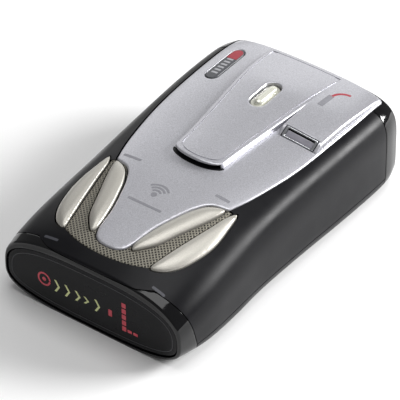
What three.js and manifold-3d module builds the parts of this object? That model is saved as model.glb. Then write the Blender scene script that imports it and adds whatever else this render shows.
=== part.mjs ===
// Dashboard radar detector: a tapered two-tone case with a silver top cover, four
// blade-shaped keys, a bracket release button, a thumbwheel and its electronics.
// Millimetres, +Z up. The origin is under the middle of the flat base. +Y points to
// the windscreen end and -Y to the display end that faces the driver.

import * as THREE from 'three';
import { mergeVertices } from 'three/addons/utils/BufferGeometryUtils.js';
import Module from 'manifold-3d';

const wasm = await Module();
wasm.setup();

// ---------------------------------------------------------------- driving sizes

const LENGTH = 110;
const WIDTH = 66;
const CROWN_HEIGHT = 30.4;      // top of the black case, under the cover's hood
const WALL = 1.8;             // sides and ends of the case
const FLOOR = 2.0;            // bottom cover
const COVER_WALL = 1.6;       // silver cover
const DECK_WALL = 1.6;        // shelf of the case that carries the cover
const PARTING_HEIGHT = 4.6;   // top edge of the bottom cover
const FIT = 0.3;              // gap between fixed neighbours
const SLIDE_FIT = 0.35;       // gap round everything that moves

const HOOD_STEP = 1.6;        // raised middle of the cover
const HOOD_DOME = 0.6;
const BLOCK_STEP = 1.7;       // raised sensor housing on the right
const BLOCK_TILT = 0.2;
const REAR_CROWN = 1.2;       // extra crown of the cover at the windscreen end

const BEZEL_DEPTH = 9;        // display bezel, along the base
const BEZEL_LEAN = 0.27;      // how much shallower it gets per millimetre of height
const LIP_HEIGHT = 22.4;      // underside of the brow over the display
const REAR_BEZEL_DEPTH = 7.5;
const WINDOW_TOP = 20.5;
const WINDOW_MARGIN = 1.1;
const WINDOW_THICKNESS = 1.5;
const WINDOW_LEDGE = 1.1;

const KEY_TRAVEL = 0.6;
const KEY_RISE = 1.1;         // how far a key stands over the case at its middle
const KEY_SKIRT = 2.8;        // how far it reaches under the case surface
const KEY_STEM_RADIUS = 2;
const SWITCH_HEIGHT = 2.5;
const SWITCH_SIDE = 6;

const RELEASE_TRAVEL = 1.3;
const RELEASE_LENGTH = 12;
const RELEASE_WIDTH = 4.8;
const RELEASE_FROM_REAR = 24.5;
const SLOT_WIDTH = 23;        // slot for the windscreen bracket's blade
const SLOT_HEIGHT = 5.2;
const SLOT_DEPTH = 20;
const GUIDE_WALL = 1.0;
const CATCH_HEIGHT = RELEASE_TRAVEL - 0.1; // how far it stands in the slot at rest

const WHEEL_RADIUS = 7.2;
const WHEEL_THICKNESS = 3.2;
const WHEEL_HEIGHT = 14;
const WHEEL_FROM_FRONT = 36;
const WHEEL_PROUD = 0.75;     // how far its rim stands out of the side
const SHAFT_RADIUS = 2;

const JACK_BORE = 6.3;
const JACK_BARREL = 8.4;
const JACK_PIN = 2;
const JACK_DEPTH = 9;
const JACK_FROM_REAR = 31;
const JACK_HEIGHT = 12;

const BOARD_BOTTOM = 5.6;
const BOARD_THICKNESS = 1.6;
const KEY_BOARD_BOTTOM = 17.6;
const KEY_BOARD_THICKNESS = 1.2;
const SPEAKER_RADIUS = 12.8;
const SPEAKER_FROM_FRONT = 24;
const HORN_MOUTH_WIDTH = 28;
const HORN_MOUTH_HEIGHT = 7.5;
const HORN_THROAT_WIDTH = 11;
const HORN_THROAT_HEIGHT = 5;
const HORN_LENGTH = 40;
const HORN_WALL = 1.2;
const SCREW_RADIUS = 1.3;
const SCREW_HEAD_RADIUS = 2.5;
const SCREW_HEAD_HEIGHT = 1.2;
const SCREW_SUNK = 0.3;       // how far its head sits up inside the base
const SCREW_LENGTH = 11;      // with its head
const SCREW_PAD = 1.5;        // extra thickness of the base under a boss
const BOSS_RADIUS = 3.1;
const BOSS_FROM_SIDE = 6.2;
const BOSS_FROM_FRONT = 14.2;
const BOSS_FROM_REAR = 17;
const LASER_SIDE = 6;

const HALF = WIDTH / 2;
const FRONT = -LENGTH / 2;
const REAR = LENGTH / 2;

// --------------------------------------------------------------- case surface

// Cross-sections from the display end (at 0) to the windscreen end (at 1). inset and
// drop are measured in from the full half width and down from the crown, widest is the
// height of the widest line, shoulder and foot say how square the corners are.
const SECTIONS = [
  { at: 0, inset: 0.9, drop: 7.2, widest: 9, shoulder: 2.8, foot: 3 },
  { at: 0.05, inset: 0.35, drop: 5.3, widest: 10, shoulder: 2.8, foot: 4 },
  { at: 0.14, inset: 0, drop: 3.4, widest: 11, shoulder: 2.9, foot: 6 },
  { at: 0.25, inset: 0.4, drop: 2.1, widest: 12, shoulder: 3.2, foot: 7 },
  { at: 0.37, inset: 0.9, drop: 1.1, widest: 12.5, shoulder: 3.7, foot: 6.5 },
  { at: 0.55, inset: 0.7, drop: 0.4, widest: 12.5, shoulder: 4.6, foot: 6.5 },
  { at: 0.73, inset: 0.2, drop: 0, widest: 12.5, shoulder: 5.4, foot: 7 },
  { at: 0.88, inset: 0, drop: 0, widest: 12.5, shoulder: 5.6, foot: 7 },
  { at: 0.955, inset: 0.3, drop: 0.2, widest: 12.5, shoulder: 5.4, foot: 6.5 },
  { at: 1, inset: 1.4, drop: 0.8, widest: 12.5, shoulder: 5, foot: 5 },
];
const BASE_SINK = 0.4;        // the sections are cut off this far up to leave a flat base

function smoothstep(from, to, value) {
  const t = Math.min(Math.max((value - from) / (to - from), 0), 1);
  return t * t * (3 - 2 * t);
}

function slopeAt(key, i) {
  const before = SECTIONS[Math.max(i - 1, 0)];
  const after = SECTIONS[Math.min(i + 1, SECTIONS.length - 1)];
  return (after[key] - before[key]) / (after.at - before.at);
}

// Smooth curve through one column of SECTIONS.
function along(key, place) {
  const at = Math.min(Math.max(place, 0), 1);
  const i = Math.min(SECTIONS.findLastIndex((s) => s.at <= at), SECTIONS.length - 2);
  const [a, b] = [SECTIONS[i], SECTIONS[i + 1]];
  const span = b.at - a.at;
  const t = (at - a.at) / span;
  const [t2, t3] = [t * t, t * t * t];
  return (2 * t3 - 3 * t2 + 1) * a[key] + (t3 - 2 * t2 + t) * span * slopeAt(key, i)
    + (3 * t2 - 2 * t3) * b[key] + (t3 - t2) * span * slopeAt(key, i + 1);
}

function sectionAt(y) {
  const place = (y - FRONT) / LENGTH;
  return {
    halfWidth: HALF - along('inset', place),
    top: CROWN_HEIGHT - along('drop', place),
    widest: along('widest', place),
    shoulder: along('shoulder', place),
    foot: along('foot', place),
  };
}

function caseTop(x, y) {
  const { halfWidth, top, widest, shoulder } = sectionAt(y);
  const u = Math.min(Math.abs(x) / halfWidth, 0.995);
  return widest + (top - widest) * (1 - u ** shoulder) ** (1 / shoulder);
}

// One ring of the section at y, pulled in by the given amounts.
function sectionRing(y, { side = 0, over = 0, under = 0 }, count = 32) {
  const s = sectionAt(y);
  const ring = [];
  for (let i = 0; i < count; i += 1) {
    const angle = (2 * Math.PI * i) / count;
    const [c, v] = [Math.cos(angle), Math.sin(angle)];
    const power = v >= 0 ? s.shoulder : s.foot;
    const reach = v >= 0 ? s.top - over - s.widest : s.widest + BASE_SINK;
    const x = (s.halfWidth - side) * Math.sign(c) * Math.abs(c) ** (2 / power);
    const z = s.widest + reach * Math.sign(v) * Math.abs(v) ** (2 / power);
    ring.push([x, Math.max(z, under)]);
  }
  return ring;
}

// ------------------------------------------------------------- solids by booleans

function toSolid(geometry) {
  const bare = geometry.clone();
  bare.deleteAttribute('normal');
  bare.deleteAttribute('uv');
  const merged = mergeVertices(bare, 1e-4);
  return new wasm.Manifold(new wasm.Mesh({
    numProp: 3,
    vertProperties: new Float32Array(merged.attributes.position.array),
    triVerts: new Uint32Array(merged.index.array),
  }));
}

function toGeometry(solid) {
  const mesh = solid.getMesh();
  const geometry = new THREE.BufferGeometry();
  geometry.setAttribute('position', new THREE.BufferAttribute(mesh.vertProperties, 3));
  geometry.setIndex(new THREE.BufferAttribute(mesh.triVerts, 1));
  geometry.computeVertexNormals();
  return geometry;
}

function indexed(points, triangles) {
  const geometry = new THREE.BufferGeometry();
  geometry.setAttribute('position', new THREE.Float32BufferAttribute(points.flat(), 3));
  geometry.setIndex(triangles);
  return geometry;
}

// A closed skin through the case sections between two places along the length.
function caseLoft(yFrom, yTo, pull, steps = 18) {
  const points = [];
  const triangles = [];
  const ringSize = sectionRing(yFrom, pull).length;
  for (let i = 0; i <= steps; i += 1) {
    const y = yFrom + ((yTo - yFrom) * (1 - Math.cos((Math.PI * i) / steps))) / 2;
    for (const [x, z] of sectionRing(y, pull)) points.push([x, y, z]);
  }
  for (let i = 0; i < steps; i += 1) {
    for (let j = 0; j < ringSize; j += 1) {
      const [a, b] = [i * ringSize + j, i * ringSize + ((j + 1) % ringSize)];
      triangles.push(a, a + ringSize, b, b, a + ringSize, b + ringSize);
    }
  }
  const last = steps * ringSize;
  for (const [start, y, flip] of [[0, yFrom, false], [last, yTo, true]]) {
    const centre = points.length;
    points.push([0, y, sectionAt(y).widest]);
    for (let j = 0; j < ringSize; j += 1) {
      const [a, b] = [start + j, start + ((j + 1) % ringSize)];
      if (flip) triangles.push(centre, b, a);
      else triangles.push(centre, a, b);
    }
  }
  return toSolid(indexed(points, triangles));
}

// A closed slab between two surfaces given as heights over the plan.
function slab(low, high, { x0, x1, y0, y1 }, cell) {
  const columns = Math.max(Math.round((x1 - x0) / cell), 1);
  const rows = Math.max(Math.round((y1 - y0) / cell), 1);
  const points = [];
  for (const height of [low, high]) {
    for (let j = 0; j <= rows; j += 1) {
      for (let i = 0; i <= columns; i += 1) {
        const [x, y] = [x0 + ((x1 - x0) * i) / columns, y0 + ((y1 - y0) * j) / rows];
        points.push([x, y, height(x, y)]);
      }
    }
  }
  const triangles = [];
  const row = columns + 1;
  const top = row * (rows + 1);
  for (let j = 0; j < rows; j += 1) {
    for (let i = 0; i < columns; i += 1) {
      const a = j * row + i;
      triangles.push(a, a + row, a + 1, a + 1, a + row, a + row + 1);
      triangles.push(top + a, top + a + 1, top + a + row);
      triangles.push(top + a + 1, top + a + row + 1, top + a + row);
    }
  }
  const rim = [];
  for (let i = 0; i < columns; i += 1) rim.push(i);
  for (let j = 0; j < rows; j += 1) rim.push(j * row + columns);
  for (let i = columns; i > 0; i -= 1) rim.push(rows * row + i);
  for (let j = rows; j > 0; j -= 1) rim.push(j * row);
  rim.forEach((a, k) => {
    const b = rim[(k + 1) % rim.length];
    triangles.push(a, b, top + a, b, top + b, top + a);
  });
  return toSolid(indexed(points, triangles));
}

function shapeOf(outline) {
  return new THREE.Shape(outline.map(([x, y]) => new THREE.Vector2(x, y)));
}

// An upright prism over a plan outline.
function prism(outline, z0, z1) {
  const options = { depth: z1 - z0, bevelEnabled: false };
  return toSolid(new THREE.ExtrudeGeometry(shapeOf(outline), options).translate(0, 0, z0));
}

// A prism across the width, over an outline given in y and z.
function crossPrism(outline, x0, x1) {
  const options = { depth: x1 - x0, bevelEnabled: false };
  const geometry = new THREE.ExtrudeGeometry(shapeOf(outline), options);
  const turn = new THREE.Matrix4().set(0, 0, 1, x0, 1, 0, 0, 0, 0, 1, 0, 0, 0, 0, 0, 1);
  return toSolid(geometry.applyMatrix4(turn));
}

// A prism along the length, over an outline given in x and z.
function lengthPrism(outline, y0, y1) {
  const options = { depth: y1 - y0, bevelEnabled: false };
  const geometry = new THREE.ExtrudeGeometry(shapeOf(outline), options);
  return toSolid(geometry.rotateX(Math.PI / 2).translate(0, y1, 0));
}

function block(x0, x1, y0, y1, z0, z1) {
  const geometry = new THREE.BoxGeometry(x1 - x0, y1 - y0, z1 - z0);
  return toSolid(geometry.translate((x0 + x1) / 2, (y0 + y1) / 2, (z0 + z1) / 2));
}

function post(x, y, radius, z0, z1, sides = 20) {
  const geometry = new THREE.CylinderGeometry(radius, radius, z1 - z0, sides);
  return toSolid(geometry.rotateX(Math.PI / 2).translate(x, y, (z0 + z1) / 2));
}

function turned(profile, sides = 24) {
  const points = profile.map(([r, z]) => new THREE.Vector2(r, z));
  return new THREE.LatheGeometry(points, sides).rotateX(Math.PI / 2);
}

function boxOf(outline) {
  const xs = outline.map(([x]) => x);
  const ys = outline.map(([, y]) => y);
  return { x0: Math.min(...xs), x1: Math.max(...xs), y0: Math.min(...ys), y1: Math.max(...ys) };
}

function grown(box, by) {
  return { x0: box.x0 - by, x1: box.x1 + by, y0: box.y0 - by, y1: box.y1 + by };
}

// A plate that follows two height surfaces inside a plan outline.
function plate(outline, low, high, cell) {
  const area = grown(boxOf(outline), 1);
  return slab(low, high, area, cell).intersect(prism(outline, -5, 60));
}

// ------------------------------------------------------------------- plan outlines

function mirrored(outline) {
  return outline.map(([x, y]) => [-x, y]).reverse();
}

function bothSides(half) {
  const left = mirrored(half).filter(([x]) => Math.abs(x) > 1e-6);
  return [...half, ...left];
}

// A closed smooth outline through a few points, anticlockwise.
function smoothOutline(points, count) {
  const knots = points.map(([x, y]) => new THREE.Vector3(x, y, 0));
  const curve = new THREE.CatmullRomCurve3(knots, true, 'centripetal');
  const outline = curve.getSpacedPoints(count).slice(0, -1).map((p) => [p.x, p.y]);
  return THREE.ShapeUtils.area(outline.map(([x, y]) => ({ x, y }))) > 0
    ? outline : outline.reverse();
}

// Moves an anticlockwise outline outwards by a distance, or inwards by a negative one.
function offset(outline, distance) {
  return outline.map((point, i) => {
    const before = outline[(i + outline.length - 1) % outline.length];
    const after = outline[(i + 1) % outline.length];
    const e1 = new THREE.Vector2(point[0] - before[0], point[1] - before[1]).normalize();
    const e2 = new THREE.Vector2(after[0] - point[0], after[1] - point[1]).normalize();
    const [n1, n2] = [new THREE.Vector2(e1.y, -e1.x), new THREE.Vector2(e2.y, -e2.x)];
    const mid = n1.clone().add(n2).normalize();
    const stretch = distance / Math.max(mid.dot(n1), 0.5);
    return [point[0] + mid.x * stretch, point[1] + mid.y * stretch];
  });
}

// Plan points are given as a share of the half width and a distance from one end, so
// that the styling follows the case.
const fromFront = ([share, distance]) => [share * HALF, FRONT + distance];
const fromRear = ([share, distance]) => [share * HALF, REAR - distance];

const outerKeyRight = smoothOutline([
  [0.706, 39.4], [0.742, 33.5], [0.76, 26.5], [0.74, 20.5], [0.673, 13.2], [0.58, 9.2],
  [0.479, 8.1], [0.5, 13], [0.556, 21.2], [0.618, 30.3], [0.664, 37],
].map(fromFront), 28);
const innerKeyRight = smoothOutline([
  [0.6, 38.3], [0.47, 36.5], [0.385, 32.8], [0.3, 26], [0.244, 20], [0.205, 12],
  [0.225, 10.6], [0.3, 12.8], [0.368, 16], [0.447, 22.7], [0.555, 31.8], [0.6, 36.8],
].map(fromFront), 28);
const KEY_GAP = 0.42;         // gap between a key and what it sits beside

// The silver cover: wide at the windscreen end, a tongue between the inner keys.
const coverHalf = [
  ...[[0.818, 0.8], [0.83, 13], [0.822, 28], [0.805, 40], [0.775, 49]].map(fromRear),
  ...[[0.69, 46.5], [0.627, 39.6]].map(fromFront),
];
const tongueHalf = [
  [0.617, 39.2], [0.46, 37.4], [0.37, 33.3], [0.285, 26.2], [0.228, 20], [0.19, 12.4],
  [0.15, 9.6], [0.085, 8.4], [0, 8.1],
].map(fromFront);
const coverOutline = bothSides([...tongueHalf].reverse().concat([...coverHalf].reverse()));

// The speaker cloth: a U-shaped band round the tongue and between the keys.
const clothEdge = bothSides([
  [0, 5], [0.14, 5.2], [0.27, 5.9], [0.38, 7], [0.462, 8.4], [0.484, 13], [0.54, 21.4],
  [0.602, 30.5], [0.648, 37.2], [0.662, 39],
].map(fromFront));

function hoodHalfWidth(y) {
  return HALF * (0.255 + 0.155 * smoothstep(REAR - 66, REAR - 2, y)
    + 0.01 * smoothstep(REAR - 30, REAR - 2, y));
}
const HOOD_FRONT = REAR - 57.7;
const HOOD_NOSE = 2.9;        // how far the hood's rounded front bows forward
const HOOD_REAR = REAR - 1.6;
function hoodOutline(pull = 0) {
  const nose = [];
  for (let i = 0; i <= 6; i += 1) {
    const angle = (Math.PI / 2) * (i / 6);
    const reach = hoodHalfWidth(HOOD_FRONT) - pull;
    nose.push([reach * Math.sin(angle) ** 0.8, HOOD_FRONT + pull
      - HOOD_NOSE * Math.cos(angle) ** 0.8]);
  }
  const sides = [0.15, 0.3, 0.5, 0.75, 1].map((share) => {
    const y = HOOD_FRONT + (HOOD_REAR - pull - HOOD_FRONT) * share;
    return [hoodHalfWidth(y) - pull, y];
  });
  return bothSides([...nose, ...sides]);
}

// ------------------------------------------------------------------ cover surface

const coverReach = 0.83 * HALF;
function coverBase(x, y) {
  const rise = REAR_CROWN * smoothstep(REAR - 50, REAR, y);
  return caseTop(x, y) + rise * (1 - Math.min((x / coverReach) ** 2, 1));
}
function stepFade(y) {
  return 1 - 0.85 * smoothstep(REAR - 22, REAR, y);
}
function hoodTop(x, y) {
  const u = Math.min(Math.abs(x) / hoodHalfWidth(y), 1);
  return coverBase(x, y) + (HOOD_STEP + HOOD_DOME * (1 - u * u)) * stepFade(y);
}
const BLOCK_FRONT = REAR - 35.4;
const blockInner = 0.37 * HALF;
const blockOuter = 0.795 * HALF;
function blockTop(x, y) {
  const across = (x - blockInner) / (blockOuter - blockInner);
  return coverBase(x, y) + (BLOCK_STEP + BLOCK_TILT * across) * stepFade(y);
}
const deckTop = (x, y) => caseTop(x, y) - COVER_WALL - FIT;
const deckBottom = (x, y) => deckTop(x, y) - DECK_WALL;
const COVER_CELL = 5;
const slotFloor = deckBottom(SLOT_WIDTH / 2 + GUIDE_WALL, REAR - WALL) - FIT - 0.15
  - GUIDE_WALL - SLOT_HEIGHT;

// ----------------------------------------------------------- sensor ramp on the right

const RAMP_SLANT = 0.62;      // radians from level
const RAMP_ROLL = 0.085;
const RAMP_LENGTH = 3.8;
const RAMP_SUNK = 0.3;
const RAMP_WIDTH = 0.345 * HALF;
const FRAME_THICKNESS = 1.2;
const FRAME_BORDER = 0.8;
const rampMiddle = (blockInner + blockOuter) / 2 + 0.1;
const rampPlace = new THREE.Matrix4().makeRotationFromEuler(
  new THREE.Euler(RAMP_SLANT, RAMP_ROLL, 0, 'YXZ'),
);
rampPlace.setPosition(
  rampMiddle,
  BLOCK_FRONT + (RAMP_LENGTH / 2) * Math.cos(RAMP_SLANT),
  coverBase(rampMiddle, BLOCK_FRONT) - RAMP_SUNK + (RAMP_LENGTH / 2) * Math.sin(RAMP_SLANT),
);

// A box in the ramp's own frame: x across, y up the slope, z out of it.
function rampBox(width, length, z0, z1) {
  const geometry = new THREE.BoxGeometry(width, length, z1 - z0);
  return toSolid(geometry.translate(0, 0, (z0 + z1) / 2).applyMatrix4(rampPlace));
}

// -------------------------------------------------------------------- materials

function finish(colour, roughness, metalness = 0, opacity = 1) {
  return new THREE.MeshStandardMaterial({
    color: colour, roughness, metalness, opacity, transparent: opacity < 1,
  });
}
const satinBlack = () => finish(0x1c1c20, 0.42);
const glossBlack = () => finish(0x08080a, 0.08);
const silverPaint = () => finish(0xb4b4b8, 0.38, 0.6);
const pearlSilver = () => finish(0xb9b6ae, 0.3, 0.5);
const smokedPlastic = () => finish(0x222224, 0.12);
const boardGreen = () => finish(0x1f5b38, 0.5);
const brightSteel = () => finish(0xc8c9cc, 0.3, 1);
const darkPlastic = () => finish(0x17171a, 0.55);

const group = new THREE.Group();
function addPart(name, shape, material, position = [0, 0, 0], rotation = [0, 0, 0]) {
  const geometry = shape.isBufferGeometry ? shape : toGeometry(shape);
  const mesh = new THREE.Mesh(geometry, material);
  mesh.name = name;
  mesh.position.set(...position);
  mesh.rotation.set(...rotation);
  group.add(mesh);
}

// ------------------------------------------------------------------ case solids

const caseOuter = caseLoft(FRONT, REAR, {});
const cavity = caseLoft(
  FRONT + WINDOW_THICKNESS + 2 * FIT + WINDOW_LEDGE,
  REAR - WALL,
  { side: WALL, over: COVER_WALL + FIT + DECK_WALL, under: FLOOR },
);
// What is mounted inside is trimmed to this room, a gap clear of the walls.
const room = caseLoft(
  FRONT + WINDOW_THICKNESS + 2 * FIT,
  REAR - WALL - FIT,
  { side: WALL + FIT, over: COVER_WALL + 2 * FIT + DECK_WALL, under: FLOOR + FIT },
);

const bezelEdge = (z, gap = 0) => FRONT + BEZEL_DEPTH - BEZEL_LEAN * z + gap;
function frontZone(gap) {
  const top = LIP_HEIGHT + gap;
  return crossPrism([
    [FRONT - 5, -5], [bezelEdge(-5, gap), -5], [bezelEdge(top, gap), top], [FRONT - 5, top],
  ], -HALF - 5, HALF + 5);
}
function rearZone(gap) {
  return block(-HALF - 5, HALF + 5, REAR - REAR_BEZEL_DEPTH - gap, REAR + 5, -5, 60);
}
function above(z) {
  return block(-HALF - 5, HALF + 5, FRONT - 5, REAR + 5, z, 60);
}
function below(z) {
  return block(-HALF - 5, HALF + 5, FRONT - 5, REAR + 5, -5, z);
}

const wholePlan = { x0: -HALF - 1, x1: HALF + 1, y0: FRONT - 1, y1: REAR + 1 };
const overDeck = slab(deckTop, () => 60, wholePlan, COVER_CELL);
const seat = prism(offset(coverOutline, FIT), -5, 60)
  .add(prism(offset(clothEdge, FIT), -5, 60))
  .intersect(overDeck);

const outerSpine = [[0.67, 33], [0.6, 14.5]];
const innerSpine = [[0.535, 34], [0.27, 14.8]];
const innerSwitchY = SPEAKER_FROM_FRONT + 10.5;
const flipped = (points) => points.map(([x, y]) => [-x, y]);
const keys = [
  { name: 'menu_button', outline: mirrored(outerKeyRight),
    spine: flipped(outerSpine).map(fromFront), switchAt: [-0.645, 24] },
  { name: 'mute_button', outline: mirrored(innerKeyRight),
    spine: flipped(innerSpine).map(fromFront), switchAt: [-0.5, innerSwitchY] },
  { name: 'dim_button', outline: innerKeyRight,
    spine: innerSpine.map(fromFront), switchAt: [0.5, innerSwitchY] },
  { name: 'city_button', outline: outerKeyRight,
    spine: outerSpine.map(fromFront), switchAt: [0.645, 24] },
];

const bosses = [];
for (const side of [-1, 1]) {
  bosses.push([side * (HALF - BOSS_FROM_SIDE), FRONT + BOSS_FROM_FRONT]);
  bosses.push([side * (HALF - BOSS_FROM_SIDE), REAR - BOSS_FROM_REAR]);
}
const boardTop = BOARD_BOTTOM + BOARD_THICKNESS;
const wheelSection = sectionAt(FRONT + WHEEL_FROM_FRONT);
const wheelCentre = [
  -(wheelSection.halfWidth + WHEEL_PROUD - WHEEL_RADIUS),
  FRONT + WHEEL_FROM_FRONT,
];
const releaseY = REAR - RELEASE_FROM_REAR;
const jackY = REAR - JACK_FROM_REAR;
const speakerY = FRONT + SPEAKER_FROM_FRONT;
const keyBoardTop = KEY_BOARD_BOTTOM + KEY_BOARD_THICKNESS;
const switchTop = keyBoardTop + FIT + SWITCH_HEIGHT;
const guideFront = REAR - SLOT_DEPTH - GUIDE_WALL;

function pill(length, width, sides = 8) {
  const [straight, radius] = [(length - width) / 2, width / 2];
  const outline = [];
  for (const [end, start] of [[1, 0], [-1, Math.PI]]) {
    for (let i = 0; i <= sides; i += 1) {
      const angle = start + (Math.PI * i) / sides;
      outline.push([radius * Math.cos(angle), end * straight + radius * Math.sin(angle)]);
    }
  }
  return outline;
}
const moved = (outline, dx, dy) => outline.map(([x, y]) => [x + dx, y + dy]);
const releaseOutline = moved(pill(RELEASE_LENGTH, RELEASE_WIDTH), 0, releaseY);

function makeUpperCase() {
  let solid = caseOuter.intersect(above(PARTING_HEIGHT + FIT))
    .subtract(frontZone(FIT)).subtract(rearZone(FIT));
  solid = solid.subtract(cavity).subtract(seat);
  for (const key of keys) solid = solid.subtract(prism(offset(key.outline, KEY_GAP), 15, 60));
  for (const [x, y] of bosses) {
    const top = deckBottom(x, y) + 0.8;
    const bore = post(x, y, SCREW_RADIUS + FIT, 0, SCREW_SUNK + SCREW_LENGTH + 1.5, 14);
    solid = solid.add(post(x, y, BOSS_RADIUS, FLOOR + SCREW_PAD + FIT, top)).subtract(bore);
  }
  for (let i = -3; i <= 3; i += 1) {
    solid = solid.subtract(post(i * 0.085 * HALF, FRONT + 6.9, 0.9, 15, 60, 8));
  }
  for (const side of [-1, 1]) {
    const [x, y] = [side * 0.28 * HALF, FRONT + 41.5];
    solid = solid.add(post(x, y, 2.2, keyBoardTop + FIT, deckBottom(x, y) + 0.8, 12));
  }
  solid = solid.subtract(prism(offset(releaseOutline, SLIDE_FIT), 15, 60));
  const [wx, wy] = wheelCentre;
  const slotHalf = WHEEL_THICKNESS / 2 + SLIDE_FIT;
  solid = solid.subtract(block(
    wx - WHEEL_RADIUS - 2, wx, wy - 0.83 * WHEEL_RADIUS, wy + 0.83 * WHEEL_RADIUS,
    WHEEL_HEIGHT - slotHalf, WHEEL_HEIGHT + slotHalf,
  ));
  const jackHole = new THREE.CylinderGeometry(
    JACK_BARREL / 2 + FIT, JACK_BARREL / 2 + FIT, 8, 24,
  ).rotateZ(Math.PI / 2).translate(-HALF, jackY, JACK_HEIGHT);
  return solid.subtract(toSolid(jackHole))
    .subtract(rampBox(RAMP_WIDTH * 0.6, RAMP_LENGTH * 0.5, -9, 0));
}

function makeBottomCover() {
  let solid = caseOuter.intersect(below(PARTING_HEIGHT))
    .subtract(frontZone(FIT)).subtract(rearZone(FIT)).subtract(cavity);
  for (const [x, y] of bosses) {
    solid = solid.add(post(x, y, BOSS_RADIUS + 0.8, FLOOR - 0.5, FLOOR + SCREW_PAD))
      .subtract(post(x, y, SCREW_RADIUS + FIT, -1, 8, 14))
      .subtract(post(x, y, SCREW_HEAD_RADIUS + FIT, -1, SCREW_SUNK + SCREW_HEAD_HEIGHT + FIT));
  }
  for (const side of [-1, 1]) {
    for (const y of [FRONT + 26, REAR - 30]) {
      solid = solid.add(post(side * 0.55 * HALF, y, 2.4, FLOOR - 0.5, BOARD_BOTTOM - FIT, 12));
    }
  }
  return solid;
}

// ---------------------------------------------------------------- display end

function windowOutline(pull) {
  const s = sectionAt(FRONT);
  const outline = [];
  const count = 44;
  const reach = { up: WINDOW_TOP - s.widest - pull, down: s.widest - 0.8 - pull };
  for (let i = 0; i < count; i += 1) {
    const angle = (2 * Math.PI * i) / count;
    const [c, v] = [Math.cos(angle), Math.sin(angle)];
    const power = v >= 0 ? s.shoulder : s.foot;
    const x = (s.halfWidth - WINDOW_MARGIN - pull) * Math.sign(c) * Math.abs(c) ** (2 / power);
    const height = (v >= 0 ? reach.up : reach.down) * Math.abs(v) ** (2 / power);
    outline.push([x, s.widest + Math.sign(v) * height]);
  }
  return outline;
}
const windowBack = FRONT + FIT + WINDOW_THICKNESS;

function makeFrontBezel() {
  return caseOuter.intersect(frontZone(0)).subtract(cavity)
    .subtract(lengthPrism(windowOutline(-FIT), FRONT - 2, windowBack + FIT))
    .subtract(lengthPrism(windowOutline(2), FRONT - 2, windowBack + 4));
}

function makeRearBezel() {
  const guideHalf = SLOT_WIDTH / 2 + GUIDE_WALL + FIT;
  return caseOuter.intersect(rearZone(0)).subtract(cavity).subtract(seat)
    .subtract(lengthPrism(rearWindow(FIT), REAR - 1 - FIT, REAR + 2))
    .subtract(lengthPrism(rearWindow(-1.5), REAR - 4, REAR + 2))
    .subtract(block(-guideHalf + GUIDE_WALL, guideHalf - GUIDE_WALL, REAR - 4, REAR + 2,
      slotFloor - FIT, slotFloor + SLOT_HEIGHT + FIT));
}

function rearWindow(grow) {
  const [x, z0, z1, r] = [0.7 * HALF + grow, 4.5 - grow, slotFloor - 2.4 + grow, 3];
  const outline = [];
  for (const [cx, cz, start] of [[x - r, z1 - r, 0], [r - x, z1 - r, 1], [r - x, z0 + r, 2],
    [x - r, z0 + r, 3]]) {
    for (let i = 0; i <= 5; i += 1) {
      const angle = (Math.PI / 2) * (start + i / 5);
      outline.push([cx + r * Math.cos(angle), cz + r * Math.sin(angle)]);
    }
  }
  return outline;
}

// -------------------------------------------------------------------- top cover

const badgeOutline = moved(pill(17.2, 4.4), -0.64 * HALF, REAR - 16.3);

function makeTopCover() {
  const under = slab(() => -5, (x, y) => caseTop(x, y) - COVER_WALL, wholePlan, COVER_CELL);
  let solid = plate(coverOutline, () => 10, coverBase, COVER_CELL)
    .add(plate(hoodOutline(), () => 10, hoodTop, COVER_CELL));
  const housing = plate([
    [blockInner, BLOCK_FRONT - 0.2], [blockOuter, BLOCK_FRONT - 0.2],
    [0.806 * HALF, REAR - 14], [0.8 * HALF, HOOD_REAR], [blockInner, HOOD_REAR],
  ], () => 10, blockTop, COVER_CELL);
  solid = solid.add(housing.subtract(rampBox(WIDTH, LENGTH, 0, 12)));
  solid = solid.subtract(under)
    .subtract(plate(hoodOutline(COVER_WALL), () => 10,
      (x, y) => hoodTop(x, y) - COVER_WALL, COVER_CELL))
    .subtract(plate([
      [blockInner + COVER_WALL, BLOCK_FRONT + 4.4], [blockOuter - COVER_WALL, BLOCK_FRONT + 4.4],
      [blockOuter - COVER_WALL, HOOD_REAR - COVER_WALL],
      [blockInner + COVER_WALL, HOOD_REAR - COVER_WALL],
    ], () => 10, (x, y) => blockTop(x, y) - COVER_WALL, COVER_CELL));
  solid = solid.subtract(rampBox(RAMP_WIDTH + 2 * FIT, RAMP_LENGTH + FIT,
    -FRAME_THICKNESS - FIT, 3));
  solid = solid.subtract(rampBox(RAMP_WIDTH * 0.6, RAMP_LENGTH * 0.5, -9, 0));
  const slotX = hoodHalfWidth(HOOD_FRONT) * 0.86;
  solid = solid.subtract(block(-slotX, slotX, HOOD_FRONT - HOOD_NOSE - 2,
    HOOD_FRONT + 2.4, hoodSlotFloor, hoodSlotFloor + HOOD_SLOT_HEIGHT));
  solid = solid.subtract(prism(offset(releaseOutline, SLIDE_FIT), 15, 60));
  const badgeSeat = plate(offset(badgeOutline, FIT), (x, y) => coverBase(x, y) - 0.9,
    () => 60, 3);
  for (const key of keys) solid = solid.subtract(prism(offset(key.outline, KEY_GAP), 5, 60));
  return solid.subtract(badgeSeat);
}

const HOOD_SLOT_HEIGHT = 1.5;
const hoodSlotFloor = coverBase(0, HOOD_FRONT - HOOD_NOSE) + 0.15;
function makeHoodLens() {
  const shell = prism(hoodOutline(0.7), hoodSlotFloor + FIT,
    hoodSlotFloor + HOOD_SLOT_HEIGHT - FIT);
  const reach = hoodHalfWidth(HOOD_FRONT) * 0.86 - FIT;
  return shell.intersect(block(-reach, reach, FRONT, HOOD_FRONT + 0.8, 0, 60));
}

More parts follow.
